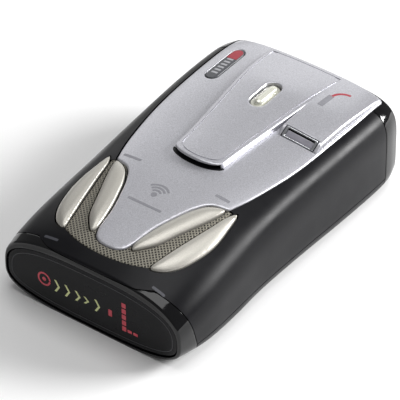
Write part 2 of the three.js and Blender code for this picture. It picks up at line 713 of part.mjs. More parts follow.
// ------------------------------------------------------------------------ keys

function onSegment([px, py], [ax, ay], [bx, by]) {
  const [dx, dy] = [bx - ax, by - ay];
  const t = ((px - ax) * dx + (py - ay) * dy) / (dx * dx + dy * dy);
  const held = Math.min(Math.max(t, 0), 1);
  return [ax + dx * held, ay + dy * held];
}

// A pad with a rounded top: rings of the outline drawn in towards a spine, the height
// of each given by low (its underside) and high (edge height plus rise times a quarter
// round of the share drawn in).
function domedPad(outline, spine, low, edge, rise) {
  const shares = [0, 0.06, 0.16, 0.32, 0.55];
  const rings = [outline.map(([x, y]) => [x, y, low(x, y)])];
  for (const share of shares) {
    const lift = rise * Math.sqrt(1 - (1 - Math.min(share / 0.5, 1)) ** 2);
    rings.push(outline.map((point) => {
      const [sx, sy] = onSegment(point, ...spine);
      const [x, y] = [point[0] + (sx - point[0]) * share, point[1] + (sy - point[1]) * share];
      return [x, y, edge(x, y) + lift];
    }));
  }
  const count = outline.length;
  const points = rings.flat();
  const triangles = [];
  for (let k = 0; k < rings.length - 1; k += 1) {
    for (let i = 0; i < count; i += 1) {
      const [a, b] = [k * count + i, k * count + ((i + 1) % count)];
      triangles.push(a, b, a + count, b, b + count, a + count);
    }
  }
  const flat = (ring) => ring.map(([x, y]) => new THREE.Vector2(x, y));
  const last = (rings.length - 1) * count;
  for (const [a, b, c] of THREE.ShapeUtils.triangulateShape(flat(rings[0]), [])) {
    triangles.push(a, c, b);
  }
  for (const [a, b, c] of THREE.ShapeUtils.triangulateShape(flat(rings.at(-1)), [])) {
    triangles.push(last + a, last + b, last + c);
  }
  return toSolid(indexed(points, triangles));
}

function makeKey({ outline, spine, switchAt }) {
  const [x, y] = fromFront(switchAt);
  const stemBottom = switchTop + KEY_TRAVEL + FIT;
  const body = domedPad(outline, spine, (px, py) => caseTop(px, py) - KEY_SKIRT,
    (px, py) => caseTop(px, py) - 0.1, KEY_RISE);
  return body.add(post(x, y, KEY_STEM_RADIUS, stemBottom, caseTop(x, y) - 1, 12));
}

function makeCloth() {
  let solid = plate(clothEdge, (x, y) => caseTop(x, y) - COVER_WALL,
    (x, y) => caseTop(x, y) - 0.25, 3);
  solid = solid.subtract(prism(offset(coverOutline, FIT), 5, 60));
  for (const key of keys) solid = solid.subtract(prism(offset(key.outline, KEY_GAP), 5, 60));
  const pieces = solid.decompose().sort((a, b) => b.volume() - a.volume());
  return pieces[0];
}

// -------------------------------------------------------------- bracket release

const guideHalfWidth = SLOT_WIDTH / 2 + GUIDE_WALL;
const guideTop = slotFloor + SLOT_HEIGHT + GUIDE_WALL;
const CATCH_Y = guideFront + 4;
const CATCH_HALF = 2.2;
const TONGUE_THICKNESS = 1.5;
const tongueTop = slotFloor - GUIDE_WALL - 0.6;
const latchFront = releaseY - 2.6;

function makeGuide() {
  const slot = block(-SLOT_WIDTH / 2, SLOT_WIDTH / 2, guideFront + GUIDE_WALL, REAR,
    slotFloor, slotFloor + SLOT_HEIGHT);
  const outer = block(-guideHalfWidth, guideHalfWidth, guideFront, REAR - WALL - FIT,
    slotFloor - GUIDE_WALL, guideTop);
  const catchHole = block(-CATCH_HALF - 0.5, CATCH_HALF + 0.5, CATCH_Y - 1.6, CATCH_Y + 1.6,
    10, slotFloor + 1);
  return outer.subtract(slot).subtract(catchHole);
}

function makeLatch() {
  const tongue = block(-4.5, 4.5, latchFront, CATCH_Y + 1.1,
    tongueTop - TONGUE_THICKNESS, tongueTop);
  const upright = block(-4.5, 4.5, latchFront, latchFront + 1.5,
    tongueTop - TONGUE_THICKNESS, guideTop - 0.6);
  const tooth = crossPrism([
    [CATCH_Y - 1.1, tongueTop - 0.5], [CATCH_Y + 1.1, tongueTop - 0.5],
    [CATCH_Y + 1.1, slotFloor + 0.3], [CATCH_Y - 1.1, slotFloor + CATCH_HEIGHT],
  ], -CATCH_HALF, CATCH_HALF);
  return tongue.add(upright).add(tooth);
}

function makeReleaseButton() {
  const capEdge = hoodTop(0, releaseY) - 0.5;
  const straight = (RELEASE_LENGTH - RELEASE_WIDTH) / 2;
  const spine = [[0, releaseY - straight], [0, releaseY + straight]];
  const cap = domedPad(releaseOutline, spine, () => capEdge - 3.5, () => capEdge, 0.9);
  const stem = block(-1.9, 1.9, latchFront - 0.2, latchFront + 4.2,
    guideTop - 0.6 + FIT, capEdge - 3);
  return cap.add(stem);
}

// The horn antenna: a square throat that flares from hornFlareY to its mouth.
const hornMouthY = REAR - REAR_BEZEL_DEPTH - 0.5;
const hornThroatY = hornMouthY - HORN_LENGTH;
const hornFlareY = hornThroatY + 0.3 * HORN_LENGTH;
const hornShare = (y) => Math.max((y - hornFlareY) / (hornMouthY - hornFlareY), 0);
const hornHalfWidth = (y) => HORN_THROAT_WIDTH / 2
  + ((HORN_MOUTH_WIDTH - HORN_THROAT_WIDTH) / 2) * hornShare(y);
const hornTop = (y) => boardTop + FIT + HORN_THROAT_HEIGHT
  + (HORN_MOUTH_HEIGHT - HORN_THROAT_HEIGHT) * hornShare(y);

class Helix extends THREE.Curve {
  constructor(radius, height, turns) {
    super();
    Object.assign(this, { radius, height, turns });
  }

  getPoint(t, target = new THREE.Vector3()) {
    const angle = 2 * Math.PI * this.turns * t;
    const [c, s] = [Math.cos(angle), Math.sin(angle)];
    return target.set(this.radius * c, this.radius * s, this.height * t);
  }
}
const SPRING_WIRE = 0.2;      // radius of the wire
const SPRING_TURNS = 2.5;
const springBottom = hornTop(latchFront + 6) + FIT;
const springTop = tongueTop - TONGUE_THICKNESS - FIT;
const springY = latchFront + 3.2;

function makeSpring() {
  const wire = new THREE.Shape();
  wire.absarc(0, 0, SPRING_WIRE, 0, 2 * Math.PI, false);
  const height = springTop - springBottom - 2 * SPRING_WIRE;
  return new THREE.ExtrudeGeometry(wire, {
    steps: 28, curveSegments: 3, bevelEnabled: false,
    extrudePath: new Helix(1.9, height, SPRING_TURNS),
  });
}

// -------------------------------------------------------------- thumbwheel, jack

function makeWheel() {
  const teeth = 28;
  const outline = [];
  for (let i = 0; i < teeth * 2; i += 1) {
    const radius = WHEEL_RADIUS - (i % 2 ? 0.3 : 0);
    const angle = (Math.PI * i) / teeth;
    outline.push([radius * Math.cos(angle), radius * Math.sin(angle)]);
  }
  const half = WHEEL_THICKNESS / 2;
  return prism(outline, -half, half)
    .subtract(post(0, 0, SHAFT_RADIUS + SLIDE_FIT, -5, 5))
    .subtract(post(0, 0, WHEEL_RADIUS - 1.8, half - 0.7, 5).subtract(post(0, 0, 3.6, -5, 9)));
}

function makeVolumeControl() {
  const top = WHEEL_HEIGHT - WHEEL_THICKNESS / 2 - SLIDE_FIT;
  return block(-3.6, 5.4, -4.5, 4.5, boardTop + FIT, top - 0.6)
    .add(post(0, 0, 3.2, boardTop + 1, top))
    .add(post(0, 0, SHAFT_RADIUS, boardTop + 1, WHEEL_HEIGHT + WHEEL_THICKNESS / 2 + 0.8));
}

// Built along x, its mouth at x = 0 facing -x.
function makeJack() {
  const tube = (radius, x0, x1, sides) => toSolid(
    new THREE.CylinderGeometry(radius, radius, x1 - x0, sides)
      .rotateZ(Math.PI / 2).translate((x0 + x1) / 2, 0, 0),
  );
  return tube(JACK_BARREL / 2, 0, 6, 24)
    .add(block(WALL + 1, 14, -4.5, 4.5, boardTop + FIT - JACK_HEIGHT, 4.6))
    .subtract(tube(JACK_BORE / 2, -1, JACK_DEPTH, 24))
    .add(tube(JACK_PIN / 2, 1.2, JACK_DEPTH + 1, 10));
}

// ------------------------------------------------------------------- electronics

// Cuts a bay round each screw boss, open to the side of the case.
function clearOfBosses(solid) {
  let cut = solid;
  for (const [x, y] of bosses) {
    const outwards = Math.sign(x) * 8;
    const reach = BOSS_RADIUS + 0.5;
    cut = cut.subtract(post(x, y, reach, 0, 30)).subtract(block(
      Math.min(x, x + outwards), Math.max(x, x + outwards), y - reach, y + reach, 0, 30,
    ));
  }
  return cut;
}

function makeMainBoard() {
  const edge = HALF - WALL - 2.8;
  const board = block(-edge, edge, FRONT + 12, hornMouthY - 0.5, BOARD_BOTTOM, boardTop);
  return clearOfBosses(board.intersect(room));
}

function makeKeyBoard() {
  const edge = 0.74 * HALF;
  const board = block(-edge, edge, FRONT + 11, FRONT + 44, KEY_BOARD_BOTTOM, keyBoardTop)
    .subtract(post(0, speakerY, SPEAKER_RADIUS + 0.5, 0, 60, 32));
  return clearOfBosses(board.intersect(room));
}

// A low body with a round plunger on top.
function makeSwitch() {
  const side = SWITCH_SIDE / 2;
  return block(-side, side, -side, side, 0, SWITCH_HEIGHT - 0.8)
    .add(post(0, 0, 1.7, 0.5, SWITCH_HEIGHT, 12));
}

function makeHorn() {
  const bottom = boardTop + FIT;
  const flare = (pull, y0, y1) => {
    const ringAt = (y) => {
      const halfWidth = hornHalfWidth(y) - pull;
      const top = hornTop(y) - pull;
      return [[-halfWidth, y, bottom + pull], [halfWidth, y, bottom + pull],
        [halfWidth, y, top], [-halfWidth, y, top]];
    };
    const points = [...ringAt(y0), ...ringAt(hornFlareY), ...ringAt(y1)];
    const triangles = [0, 1, 2, 0, 2, 3, 8, 10, 9, 8, 11, 10];
    for (const k of [0, 4]) {
      for (let i = 0; i < 4; i += 1) {
        const [a, b] = [k + i, k + ((i + 1) % 4)];
        triangles.push(a, a + 4, b, b, a + 4, b + 4);
      }
    }
    return toSolid(indexed(points, triangles));
  };
  return flare(0, hornThroatY, hornMouthY)
    .subtract(flare(HORN_WALL, hornThroatY + 4, hornMouthY + 1));
}

// Shallow cone housing, magnet and rim turned as one.
function makeSpeakerFrame() {
  const [r, m] = [SPEAKER_RADIUS, 6.5];
  return turned([
    [0, 0], [m, 0], [m, 3.4], [m + 1.2, 3.6], [r - 1, 6.6], [r, 6.6], [r, 8], [r - 1.6, 8],
    [r - 1.9, 7.2], [m - 0.4, 4.6], [0, 4.6], [0, 0],
  ], 32);
}
function makeSpeakerCone() {
  const r = SPEAKER_RADIUS - 2;
  return turned([
    [0, 4.9], [5.4, 4.9], [r, 7.7], [r, 8.1], [5.2, 5.6], [3.2, 6.9], [0, 7.5], [0, 4.9],
  ], 32);
}

// Pan head with a cross recess at the bottom, shank upwards.
function makeScrew() {
  const arm = 0.72 * SCREW_HEAD_RADIUS;
  return post(0, 0, SCREW_HEAD_RADIUS, 0, SCREW_HEAD_HEIGHT, 20)
    .add(post(0, 0, SCREW_RADIUS, 0.2, SCREW_LENGTH, 12))
    .subtract(block(-arm, arm, -0.3, 0.3, -1, 0.6))
    .subtract(block(-0.3, 0.3, -arm, arm, -1, 0.6));
}

// ------------------------------------------------------------------------ assembly

addPart('upper_case', makeUpperCase(), satinBlack());
addPart('bottom_cover', makeBottomCover(), satinBlack());
addPart('front_bezel', makeFrontBezel(), glossBlack());
addPart('display_window', lengthPrism(windowOutline(0), FRONT + FIT, windowBack),
  smokedPlastic());
addPart('rear_bezel', makeRearBezel(), glossBlack());
addPart('rear_lens', lengthPrism(rearWindow(0), REAR - 1, REAR - 0.2), finish(0x2a1013, 0.1));
addPart('top_cover', makeTopCover(), silverPaint());
addPart('hood_lens', makeHoodLens(), smokedPlastic());
addPart('sensor_frame', rampBox(RAMP_WIDTH, RAMP_LENGTH - FIT, -FRAME_THICKNESS, 0.1)
  .subtract(rampBox(RAMP_WIDTH - 2 * FRAME_BORDER, RAMP_LENGTH - 2 * FRAME_BORDER, -9, 9)),
finish(0xdadce0, 0.15, 1));
addPart('sensor_window', rampBox(RAMP_WIDTH - 2 * FRAME_BORDER - 2 * FIT,
  RAMP_LENGTH - 2 * FRAME_BORDER - 2 * FIT, -FRAME_THICKNESS, -0.2), finish(0x55525e, 0.2));
addPart('badge_plate', plate(badgeOutline, (x, y) => coverBase(x, y) - 0.6,
  (x, y) => coverBase(x, y) + 0.05, 3), finish(0x4a4b50, 0.35));
for (const key of keys) addPart(key.name, makeKey(key), pearlSilver());
addPart('speaker_grille', makeCloth(), finish(0x746f64, 0.8));

addPart('release_button', makeReleaseButton(), finish(0xdcdccf, 0.25, 0.3));
addPart('bracket_latch', makeLatch(), darkPlastic());
addPart('bracket_guide', makeGuide(), darkPlastic());
addPart('release_spring', makeSpring(), brightSteel(),
  [0, springY, springBottom + SPRING_WIRE]);

addPart('volume_wheel', makeWheel(), darkPlastic(), [...wheelCentre, WHEEL_HEIGHT]);
addPart('volume_control', makeVolumeControl(), brightSteel(), [...wheelCentre, 0]);
addPart('power_jack', makeJack(), darkPlastic(),
  [-sectionAt(jackY).halfWidth + 0.2, jackY, JACK_HEIGHT]);

addPart('main_circuit_board', makeMainBoard(), boardGreen());
addPart('key_circuit_board', makeKeyBoard(), boardGreen());
keys.forEach(({ name, switchAt }) => {
  const [x, y] = fromFront(switchAt);
  addPart(name.replace('button', 'switch'), makeSwitch(), darkPlastic(),
    [x, y, keyBoardTop + FIT]);
});
const displayBack = windowBack + FIT + WINDOW_LEDGE + 1.6;
addPart('display_module', block(-0.67 * HALF, 0.67 * HALF, windowBack + FIT, displayBack,
  4.6, WINDOW_TOP - 5), finish(0x101114, 0.3));
addPart('display_board', block(-0.78 * HALF, 0.78 * HALF, displayBack + FIT,
  displayBack + FIT + 1.2, 3.2, WINDOW_TOP - 2.6).intersect(room), boardGreen());
addPart('speaker_frame', makeSpeakerFrame(), brightSteel(),
  [0, speakerY, KEY_BOARD_BOTTOM - 5.4]);
addPart('speaker_cone', makeSpeakerCone(), finish(0x2a2a2c, 0.9),
  [0, speakerY, KEY_BOARD_BOTTOM - 5.4]);

addPart('horn_antenna', makeHorn(), finish(0xb9bcc0, 0.35, 1));
addPart('mixer_shield', block(-11, 11, hornThroatY - 18, hornThroatY - FIT, boardTop + FIT,
  boardTop + FIT + 6.5), brightSteel());
addPart('processor_chip', block(12.5, 22.5, hornThroatY - 14, hornThroatY - 4, boardTop + FIT,
  boardTop + FIT + 1.4), darkPlastic());
const laserX = HORN_MOUTH_WIDTH / 2 + LASER_SIDE / 2 + 1;
const laserY = REAR - BOSS_FROM_REAR + BOSS_RADIUS + 2 * FIT;
addPart('front_laser_sensor', block(laserX - LASER_SIDE / 2, laserX + LASER_SIDE / 2, laserY,
  laserY + 4, boardTop + FIT, boardTop + 8), darkPlastic());
addPart('front_laser_lens', turned([
  [0, 0], [3.4, 0], [3.4, 1], [3, 2], [1.8, 2.8], [0, 3.1], [0, 0],
], 20), finish(0x5a1a20, 0.08), [laserX, laserY + 4 + FIT, boardTop + 4.2],
[-Math.PI / 2, 0, 0]);
addPart('rear_laser_sensor', block(rampMiddle - 2.6, rampMiddle + 2.6, BLOCK_FRONT - 1.5,
  BLOCK_FRONT + 3.5, 21.5, 25.6), darkPlastic());
bosses.forEach(([x, y], i) => {
  addPart(`case_screw_${i + 1}`, makeScrew(), brightSteel(), [x, y, SCREW_SUNK]);
});

export default group;
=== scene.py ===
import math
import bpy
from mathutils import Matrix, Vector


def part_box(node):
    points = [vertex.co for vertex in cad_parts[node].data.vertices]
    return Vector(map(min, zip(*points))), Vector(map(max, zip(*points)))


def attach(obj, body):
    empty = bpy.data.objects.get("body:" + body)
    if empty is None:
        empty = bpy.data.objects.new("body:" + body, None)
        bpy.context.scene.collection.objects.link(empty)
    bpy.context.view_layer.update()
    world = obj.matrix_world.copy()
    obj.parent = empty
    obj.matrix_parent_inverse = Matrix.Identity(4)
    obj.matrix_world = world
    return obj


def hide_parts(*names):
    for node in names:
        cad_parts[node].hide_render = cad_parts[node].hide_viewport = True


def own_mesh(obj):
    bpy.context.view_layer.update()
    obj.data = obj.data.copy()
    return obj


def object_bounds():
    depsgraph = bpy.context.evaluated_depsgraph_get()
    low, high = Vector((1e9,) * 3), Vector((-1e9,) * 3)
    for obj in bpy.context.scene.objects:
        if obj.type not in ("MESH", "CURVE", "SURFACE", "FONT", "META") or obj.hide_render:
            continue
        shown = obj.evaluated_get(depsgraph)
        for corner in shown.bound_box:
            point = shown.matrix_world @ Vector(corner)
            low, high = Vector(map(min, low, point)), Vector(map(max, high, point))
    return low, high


bl_info = {
    "name": "Radar Detector",
    "version": (1, 0, 0),
    "blender": (4, 5, 0),
    "location": "View3D > Sidebar > Radar Detector",
    "description": "Builds the finished surfaces of a dashboard radar detector on its frame",
    "category": "Object",
}

import bmesh
import bpy
from mathutils import Matrix, Vector

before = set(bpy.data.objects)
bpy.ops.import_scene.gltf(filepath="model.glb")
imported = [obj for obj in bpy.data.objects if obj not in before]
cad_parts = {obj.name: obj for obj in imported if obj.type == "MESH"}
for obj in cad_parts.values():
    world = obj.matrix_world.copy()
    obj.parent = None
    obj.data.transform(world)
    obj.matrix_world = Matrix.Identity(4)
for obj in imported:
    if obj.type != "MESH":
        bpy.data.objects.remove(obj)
CAD_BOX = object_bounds()

# Shapes are drawn in millimetres and turned to metres when a piece is finished. +Z is
# up, -Y is the display end that faces the driver and +Y the windscreen end.
MM = 0.001


def in_mm(value):
    return value / MM


# ------------------------------------------------------------------ case surface

HALF = in_mm(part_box("upper_case")[1].x)
REAR = in_mm(CAD_BOX[1].y)
FRONT = in_mm(CAD_BOX[0].y)
LENGTH = REAR - FRONT
CROWN = 30.4
WALL = 1.8
FLOOR = 2.0
COVER_WALL = 1.6
DECK_WALL = 1.6
FIT = 0.3
SLIDE_FIT = 0.35
BASE_SINK = 0.4
KEY_GAP = 0.42
PARTING = in_mm(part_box("bottom_cover")[1].z)
WINDOW_THICK = 1.5
WHEEL_RADIUS = 7.2
WHEEL_HALF = 1.6
JACK_HEIGHT = 12.0
KEY_DEPTH = 2.8
CROWN_REACH = 2.4
BADGE_X = -0.64 * HALF
BADGE_Y = REAR - 16.3
BADGE_LENGTH = 17.2
BADGE_WIDTH = 4.4

# Where cutters end, clear of the case.
SKY = 60.0
BELOW = -5.0
MARGIN = 5.0

# Cross-sections along the length: where (0 at the display end, 1 at the windscreen end),
# how far in from the full half width, how far under the crown, the height of the widest
# line, and how square the shoulder and the foot are.
SECTIONS = (
    (0.0, 0.9, 7.2, 9.0, 2.8, 3.0),
    (0.05, 0.35, 5.3, 10.0, 2.8, 4.0),
    (0.14, 0.0, 3.4, 11.0, 2.9, 6.0),
    (0.25, 0.4, 2.1, 12.0, 3.2, 7.0),
    (0.37, 0.9, 1.1, 12.5, 3.7, 6.5),
    (0.55, 0.7, 0.4, 12.5, 4.6, 6.5),
    (0.73, 0.2, 0.0, 12.5, 5.4, 7.0),
    (0.88, 0.0, 0.0, 12.5, 5.6, 7.0),
    (0.955, 0.3, 0.2, 12.5, 5.4, 6.5),
    (1.0, 1.4, 0.8, 12.5, 5.0, 5.0),
)


def smoothstep(start, end, value):
    t = min(max((value - start) / (end - start), 0.0), 1.0)
    return t * t * (3 - 2 * t)


def slope_at(column, i):
    before, after = SECTIONS[max(i - 1, 0)], SECTIONS[min(i + 1, len(SECTIONS) - 1)]
    return (after[column] - before[column]) / (after[0] - before[0])


def along(column, place):
    """Smooth curve through one column of SECTIONS."""
    at = min(max(place, 0.0), 1.0)
    i = max(k for k in range(len(SECTIONS) - 1) if SECTIONS[k][0] <= at)
    a, b = SECTIONS[i], SECTIONS[i + 1]
    span = b[0] - a[0]
    t = (at - a[0]) / span
    t2, t3 = t * t, t * t * t
    return (
        (2 * t3 - 3 * t2 + 1) * a[column]
        + (t3 - 2 * t2 + t) * span * slope_at(column, i)
        + (3 * t2 - 2 * t3) * b[column]
        + (t3 - t2) * span * slope_at(column, i + 1)
    )


known_sections = {}


def section_at(y):
    """Half width, top, height of the widest line, shoulder and foot powers at y."""
    if y not in known_sections:
        place = (y - FRONT) / LENGTH
        known_sections[y] = (
            HALF - along(1, place),
            CROWN - along(2, place),
            along(3, place),
            along(4, place),
            along(5, place),
        )
    return known_sections[y]


def case_top(x, y):
    half, top, widest, shoulder, _ = section_at(y)
    u = min(abs(x) / half, 0.995)
    return widest + (top - widest) * (1 - u**shoulder) ** (1 / shoulder)


def squircle(half, up, down, shoulder, foot, widest, count):
    """A closed (x, z) outline with its own squareness above and below its widest line."""
    points = []
    for i in range(count):
        angle = 2 * math.pi * i / count
        c, s = math.cos(angle), math.sin(angle)
        power = shoulder if s >= 0 else foot
        k = (abs(c) ** power + abs(s) ** power) ** (-1 / power)
        points.append((half * c * k, widest + (up if s >= 0 else down) * s * k))
    return points


def section_ring(y, count, side=0.0, over=0.0):
    half, top, widest, shoulder, foot = section_at(y)
    ring = squircle(
        half - side, top - over - widest, widest + BASE_SINK, shoulder, foot, widest, count
    )
    return [(x, y, z) for x, z in ring]


HOOD_FRONT = REAR - 57.0
HOOD_NOSE = 3.6
HOOD_REAR = REAR - 1.6
HOOD_STEP = 1.6
HOOD_DOME = 0.6
BLOCK_FRONT = REAR - 35.4
BLOCK_INNER = 0.37 * HALF
BLOCK_OUTER = 0.795 * HALF
COVER_REACH = 0.83 * HALF


def hood_half(y):
    return HALF * (
        0.255
        + 0.155 * smoothstep(REAR - 66, REAR - 2, y)
        + 0.01 * smoothstep(REAR - 30, REAR - 2, y)
    )


def cover_base(x, y):
    rise = 1.2 * smoothstep(REAR - 50, REAR, y)
    return case_top(x, y) + rise * (1 - min((x / COVER_REACH) ** 2, 1))


def step_fade(y):
    return 1 - 0.85 * smoothstep(REAR - 22, REAR, y)


def panel_top(x, y):
    """The cover's own surface, with two soft creases that run forward from the hood."""
    crease = smoothstep(HOOD_FRONT - 8, HOOD_FRONT + 1, y)
    inside = 1 - smoothstep(hood_half(HOOD_FRONT) - 1.4, hood_half(HOOD_FRONT) + 0.4, abs(x))
    fade = 1 - smoothstep(HOOD_FRONT + 1, HOOD_FRONT + 4, y)
    return cover_base(x, y) + 0.3 * crease * inside * fade


def hood_top(x, y):
    u = min(abs(x) / hood_half(y), 1)
    return cover_base(x, y) + (HOOD_STEP + HOOD_DOME * (1 - u * u)) * step_fade(y)


def block_top(x, y):
    across = (x - BLOCK_INNER) / (BLOCK_OUTER - BLOCK_INNER)
    return cover_base(x, y) + (1.7 + 0.2 * across) * step_fade(y)


def deck_top(x, y):
    return case_top(x, y) - COVER_WALL - FIT


# The sensor ramp: a slope across the front of the housing on the right.
RAMP_SLANT = 0.62
RAMP_LENGTH = 3.8
RAMP_WIDTH = 0.345 * HALF
RAMP_MIDDLE = (BLOCK_INNER + BLOCK_OUTER) / 2 + 0.1
RAMP = (
    Matrix.Translation(
        (
            RAMP_MIDDLE,
            BLOCK_FRONT + RAMP_LENGTH / 2 * math.cos(RAMP_SLANT),
            cover_base(RAMP_MIDDLE, BLOCK_FRONT)
            - 0.3
            + RAMP_LENGTH / 2 * math.sin(RAMP_SLANT),
        )
    )
    @ Matrix.Rotation(0.085, 4, "Y")
    @ Matrix.Rotation(RAMP_SLANT, 4, "X")
)


def ramp_height(x, y):
    normal, place = RAMP.to_3x3() @ Vector((0, 0, 1)), RAMP.translation
    return place.z - (normal.x * (x - place.x) + normal.y * (y - place.y)) / normal.z


# ---------------------------------------------------------------- plan outlines


def curve_through(points, spacing, closed=False):
    """Evenly spaced points on the smooth curve through a few."""
    knots = [Vector(p) for p in points]
    if closed:
        knots = [knots[-1], *knots, knots[0], knots[1]]
    else:
        knots = [2 * knots[0] - knots[1], *knots, 2 * knots[-1] - knots[-2]]
    fine = []
    for p0, p1, p2, p3 in zip(knots, knots[1:], knots[2:], knots[3:]):
        t1 = (p1 - p0).length ** 0.5
        t2 = t1 + (p2 - p1).length ** 0.5
        t3 = t2 + (p3 - p2).length ** 0.5
        for i in range(24):
            t = t1 + (t2 - t1) * i / 24
            a1 = p0.lerp(p1, t / t1)
            a2 = p1.lerp(p2, (t - t1) / (t2 - t1))
            a3 = p2.lerp(p3, (t - t2) / (t3 - t2))
            b1, b2 = a1.lerp(a2, t / t2), a2.lerp(a3, (t - t1) / (t3 - t1))
            fine.append(b1.lerp(b2, (t - t1) / (t2 - t1)))
    fine.append(knots[-2].copy())
    lengths = [0.0]
    for a, b in zip(fine, fine[1:]):
        lengths.append(lengths[-1] + (b - a).length)
    count = max(round(lengths[-1] / spacing), 4)
    spaced, k = [], 0
    for i in range(count + 1):
        wanted = lengths[-1] * i / count
        while k < len(fine) - 2 and lengths[k + 1] < wanted:
            k += 1
        share = (wanted - lengths[k]) / max(lengths[k + 1] - lengths[k], 1e-9)
        spaced.append(tuple(fine[k].lerp(fine[k + 1], min(share, 1))))
    return spaced[:-1] if closed else spaced


def anticlockwise(outline):
    doubled = sum(a[0] * b[1] - b[0] * a[1] for a, b in zip(outline, outline[1:] + outline[:1]))
    return outline if doubled > 0 else outline[::-1]


def mirrored(outline):
    return [(-x, y) for x, y in reversed(outline)]


def grow(outline, distance):
    """Moves an anticlockwise outline outwards by a distance, or in by a negative one."""
    moved = []
    for i, point in enumerate(outline):
        before, after = outline[i - 1], outline[(i + 1) % len(outline)]
        e1 = Vector((point[0] - before[0], point[1] - before[1])).normalized()
        e2 = Vector((after[0] - point[0], after[1] - point[1])).normalized()
        n1 = Vector((e1.y, -e1.x))
        middle = (n1 + Vector((e2.y, -e2.x))).normalized()
        reach = distance / max(middle.dot(n1), 0.5)
        moved.append((point[0] + middle.x * reach, point[1] + middle.y * reach))
    return moved


def round_corners(outline, radius, steps=5):
    """Replaces each corner of a straight-sided outline by a short curve."""
    rounded = []
    for i, corner in enumerate(outline):
        here = Vector(corner)
        before = Vector(outline[i - 1]) - here
        after = Vector(outline[(i + 1) % len(outline)]) - here
        start, end = before.normalized() * radius, after.normalized() * radius
        for k in range(steps + 1):
            t = k / steps
            rounded.append(tuple(here + start * (1 - t) ** 2 + end * t**2))
    return rounded


def divide(outline, spacing):
    """Adds points along the straight sides, so that they can follow a curved surface."""
    divided = []
    for a, b in zip(outline, outline[1:] + outline[:1]):
        pieces = max(round(math.dist(a, b) / spacing), 1)
        for i in range(pieces):
            t = i / pieces
            divided.append((a[0] + (b[0] - a[0]) * t, a[1] + (b[1] - a[1]) * t))
    return divided


def rounded_bar(x, y, width, length, radius):
    """An upright rounded bar in plan, centred on x, y."""
    w, l = width / 2, length / 2
    corners = [(x - w, y - l), (x + w, y - l), (x + w, y + l), (x - w, y + l)]
    return round_corners(corners, radius)


def pill(x, y, length, width, sides=14):
    straight, radius = (length - width) / 2, width / 2
    points = []
    for end, start in ((1, 0), (-1, math.pi)):
        for i in range(sides + 1):
            angle = start + math.pi * i / sides
            points.append(
                (x + radius * math.cos(angle), y + end * straight + radius * math.sin(angle))
            )
    return points


def arc_band(x, y, radius, width, start, end, steps=16):
    """A bent bar in plan: part of a ring, angles in degrees."""
    angles = [math.radians(start + (end - start) * i / steps) for i in range(steps + 1)]
    outer = [
        (x + (radius + width / 2) * math.cos(a), y + (radius + width / 2) * math.sin(a))
        for a in angles
    ]
    inner = [
        (x + (radius - width / 2) * math.cos(a), y + (radius - width / 2) * math.sin(a))
        for a in reversed(angles)
    ]
    return outer + inner


def from_front(points):
    return [(share * HALF, FRONT + distance) for share, distance in points]


def from_rear(points):
    return [(share * HALF, REAR - distance) for share, distance in points]


OUTER_KEY = anticlockwise(
    curve_through(
        from_front(
            [(0.706, 39.4), (0.742, 33.5), (0.76, 26.5), (0.74, 20.5), (0.673, 13.2)]
            + [(0.58, 9.2), (0.479, 8.1), (0.5, 13), (0.556, 21.2), (0.618, 30.3), (0.664, 37)]
        ),
        0.7,
        closed=True,
    )
)
INNER_KEY = anticlockwise(
    curve_through(
        from_front(
            [(0.6, 38.3), (0.47, 36.5), (0.385, 32.8), (0.3, 26), (0.244, 20), (0.205, 12)]
            + [(0.225, 10.6), (0.3, 12.8), (0.368, 16), (0.447, 22.7), (0.555, 31.8)]
            + [(0.6, 36.8)]
        ),
        0.7,
        closed=True,
    )
)
TONGUE = from_front(
    [(0, 8.1), (0.085, 8.4), (0.15, 9.6), (0.19, 12.4), (0.228, 20), (0.285, 26.2)]
    + [(0.37, 33.3), (0.46, 37.4), (0.617, 39.2)]
)
COVER_SIDE = from_front([(0.627, 39.6), (0.69, 46.5)]) + from_rear(
    [(0.775, 49), (0.805, 40), (0.822, 28), (0.83, 13), (0.818, 0.8)]
)
CLOTH_EDGE = from_front(
    [(0, 5), (0.14, 5.2), (0.27, 5.9), (0.38, 7), (0.462, 8.4), (0.484, 13), (0.54, 21.4)]
    + [(0.602, 30.5), (0.648, 37.2), (0.662, 39)]
)


def both_sides(half):
    """Closes a right half that starts and ends on or right of the middle line."""
    return half + [(-x, y) for x, y in reversed(half) if x > 1e-6]


def cover_outline():
    tongue = curve_through(TONGUE, 0.8)
    side = curve_through(COVER_SIDE, 0.9)
    corner = side[-1]
    rounding = [
        (corner[0] - 1.6 * (1 - math.cos(a)), corner[1] - 1.6 + 1.6 * math.sin(a))
        for a in (math.pi / 2 * i / 5 for i in range(1, 6))
    ]
    side = [p for p in side if p[1] < corner[1] - 1.6]
    rear = [(x * rounding[-1][0] / 22, corner[1]) for x in range(21, -1, -1)]
    return anticlockwise(both_sides(tongue + side + rounding + rear))


def cloth_outline():
    return anticlockwise(both_sides(curve_through(CLOTH_EDGE, 0.8)))


def hood_outline(pull=0.0):
    reach = hood_half(HOOD_FRONT) - pull
    nose = []
    for i in range(17):
        angle = math.pi / 2 * i / 16
        nose.append(
            (
                reach * math.sin(angle) ** 0.95,
                HOOD_FRONT + pull - HOOD_NOSE * max(math.cos(angle), 0) ** 0.95,
            )
        )
    sides = []
    for i in range(1, 56):
        y = HOOD_FRONT + (HOOD_REAR - pull - HOOD_FRONT) * i / 55
        sides.append((hood_half(y) - pull, y))
    end = sides[-1]
    rear = [(end[0] * k / 12, end[1]) for k in range(11, -1, -1)]
    return anticlockwise(both_sides(nose + sides + rear))


RELEASE_Y = REAR - 24.5
RELEASE = pill(0, RELEASE_Y, 12, 4.8)


# ---------------------------------------------------------------- mesh helpers


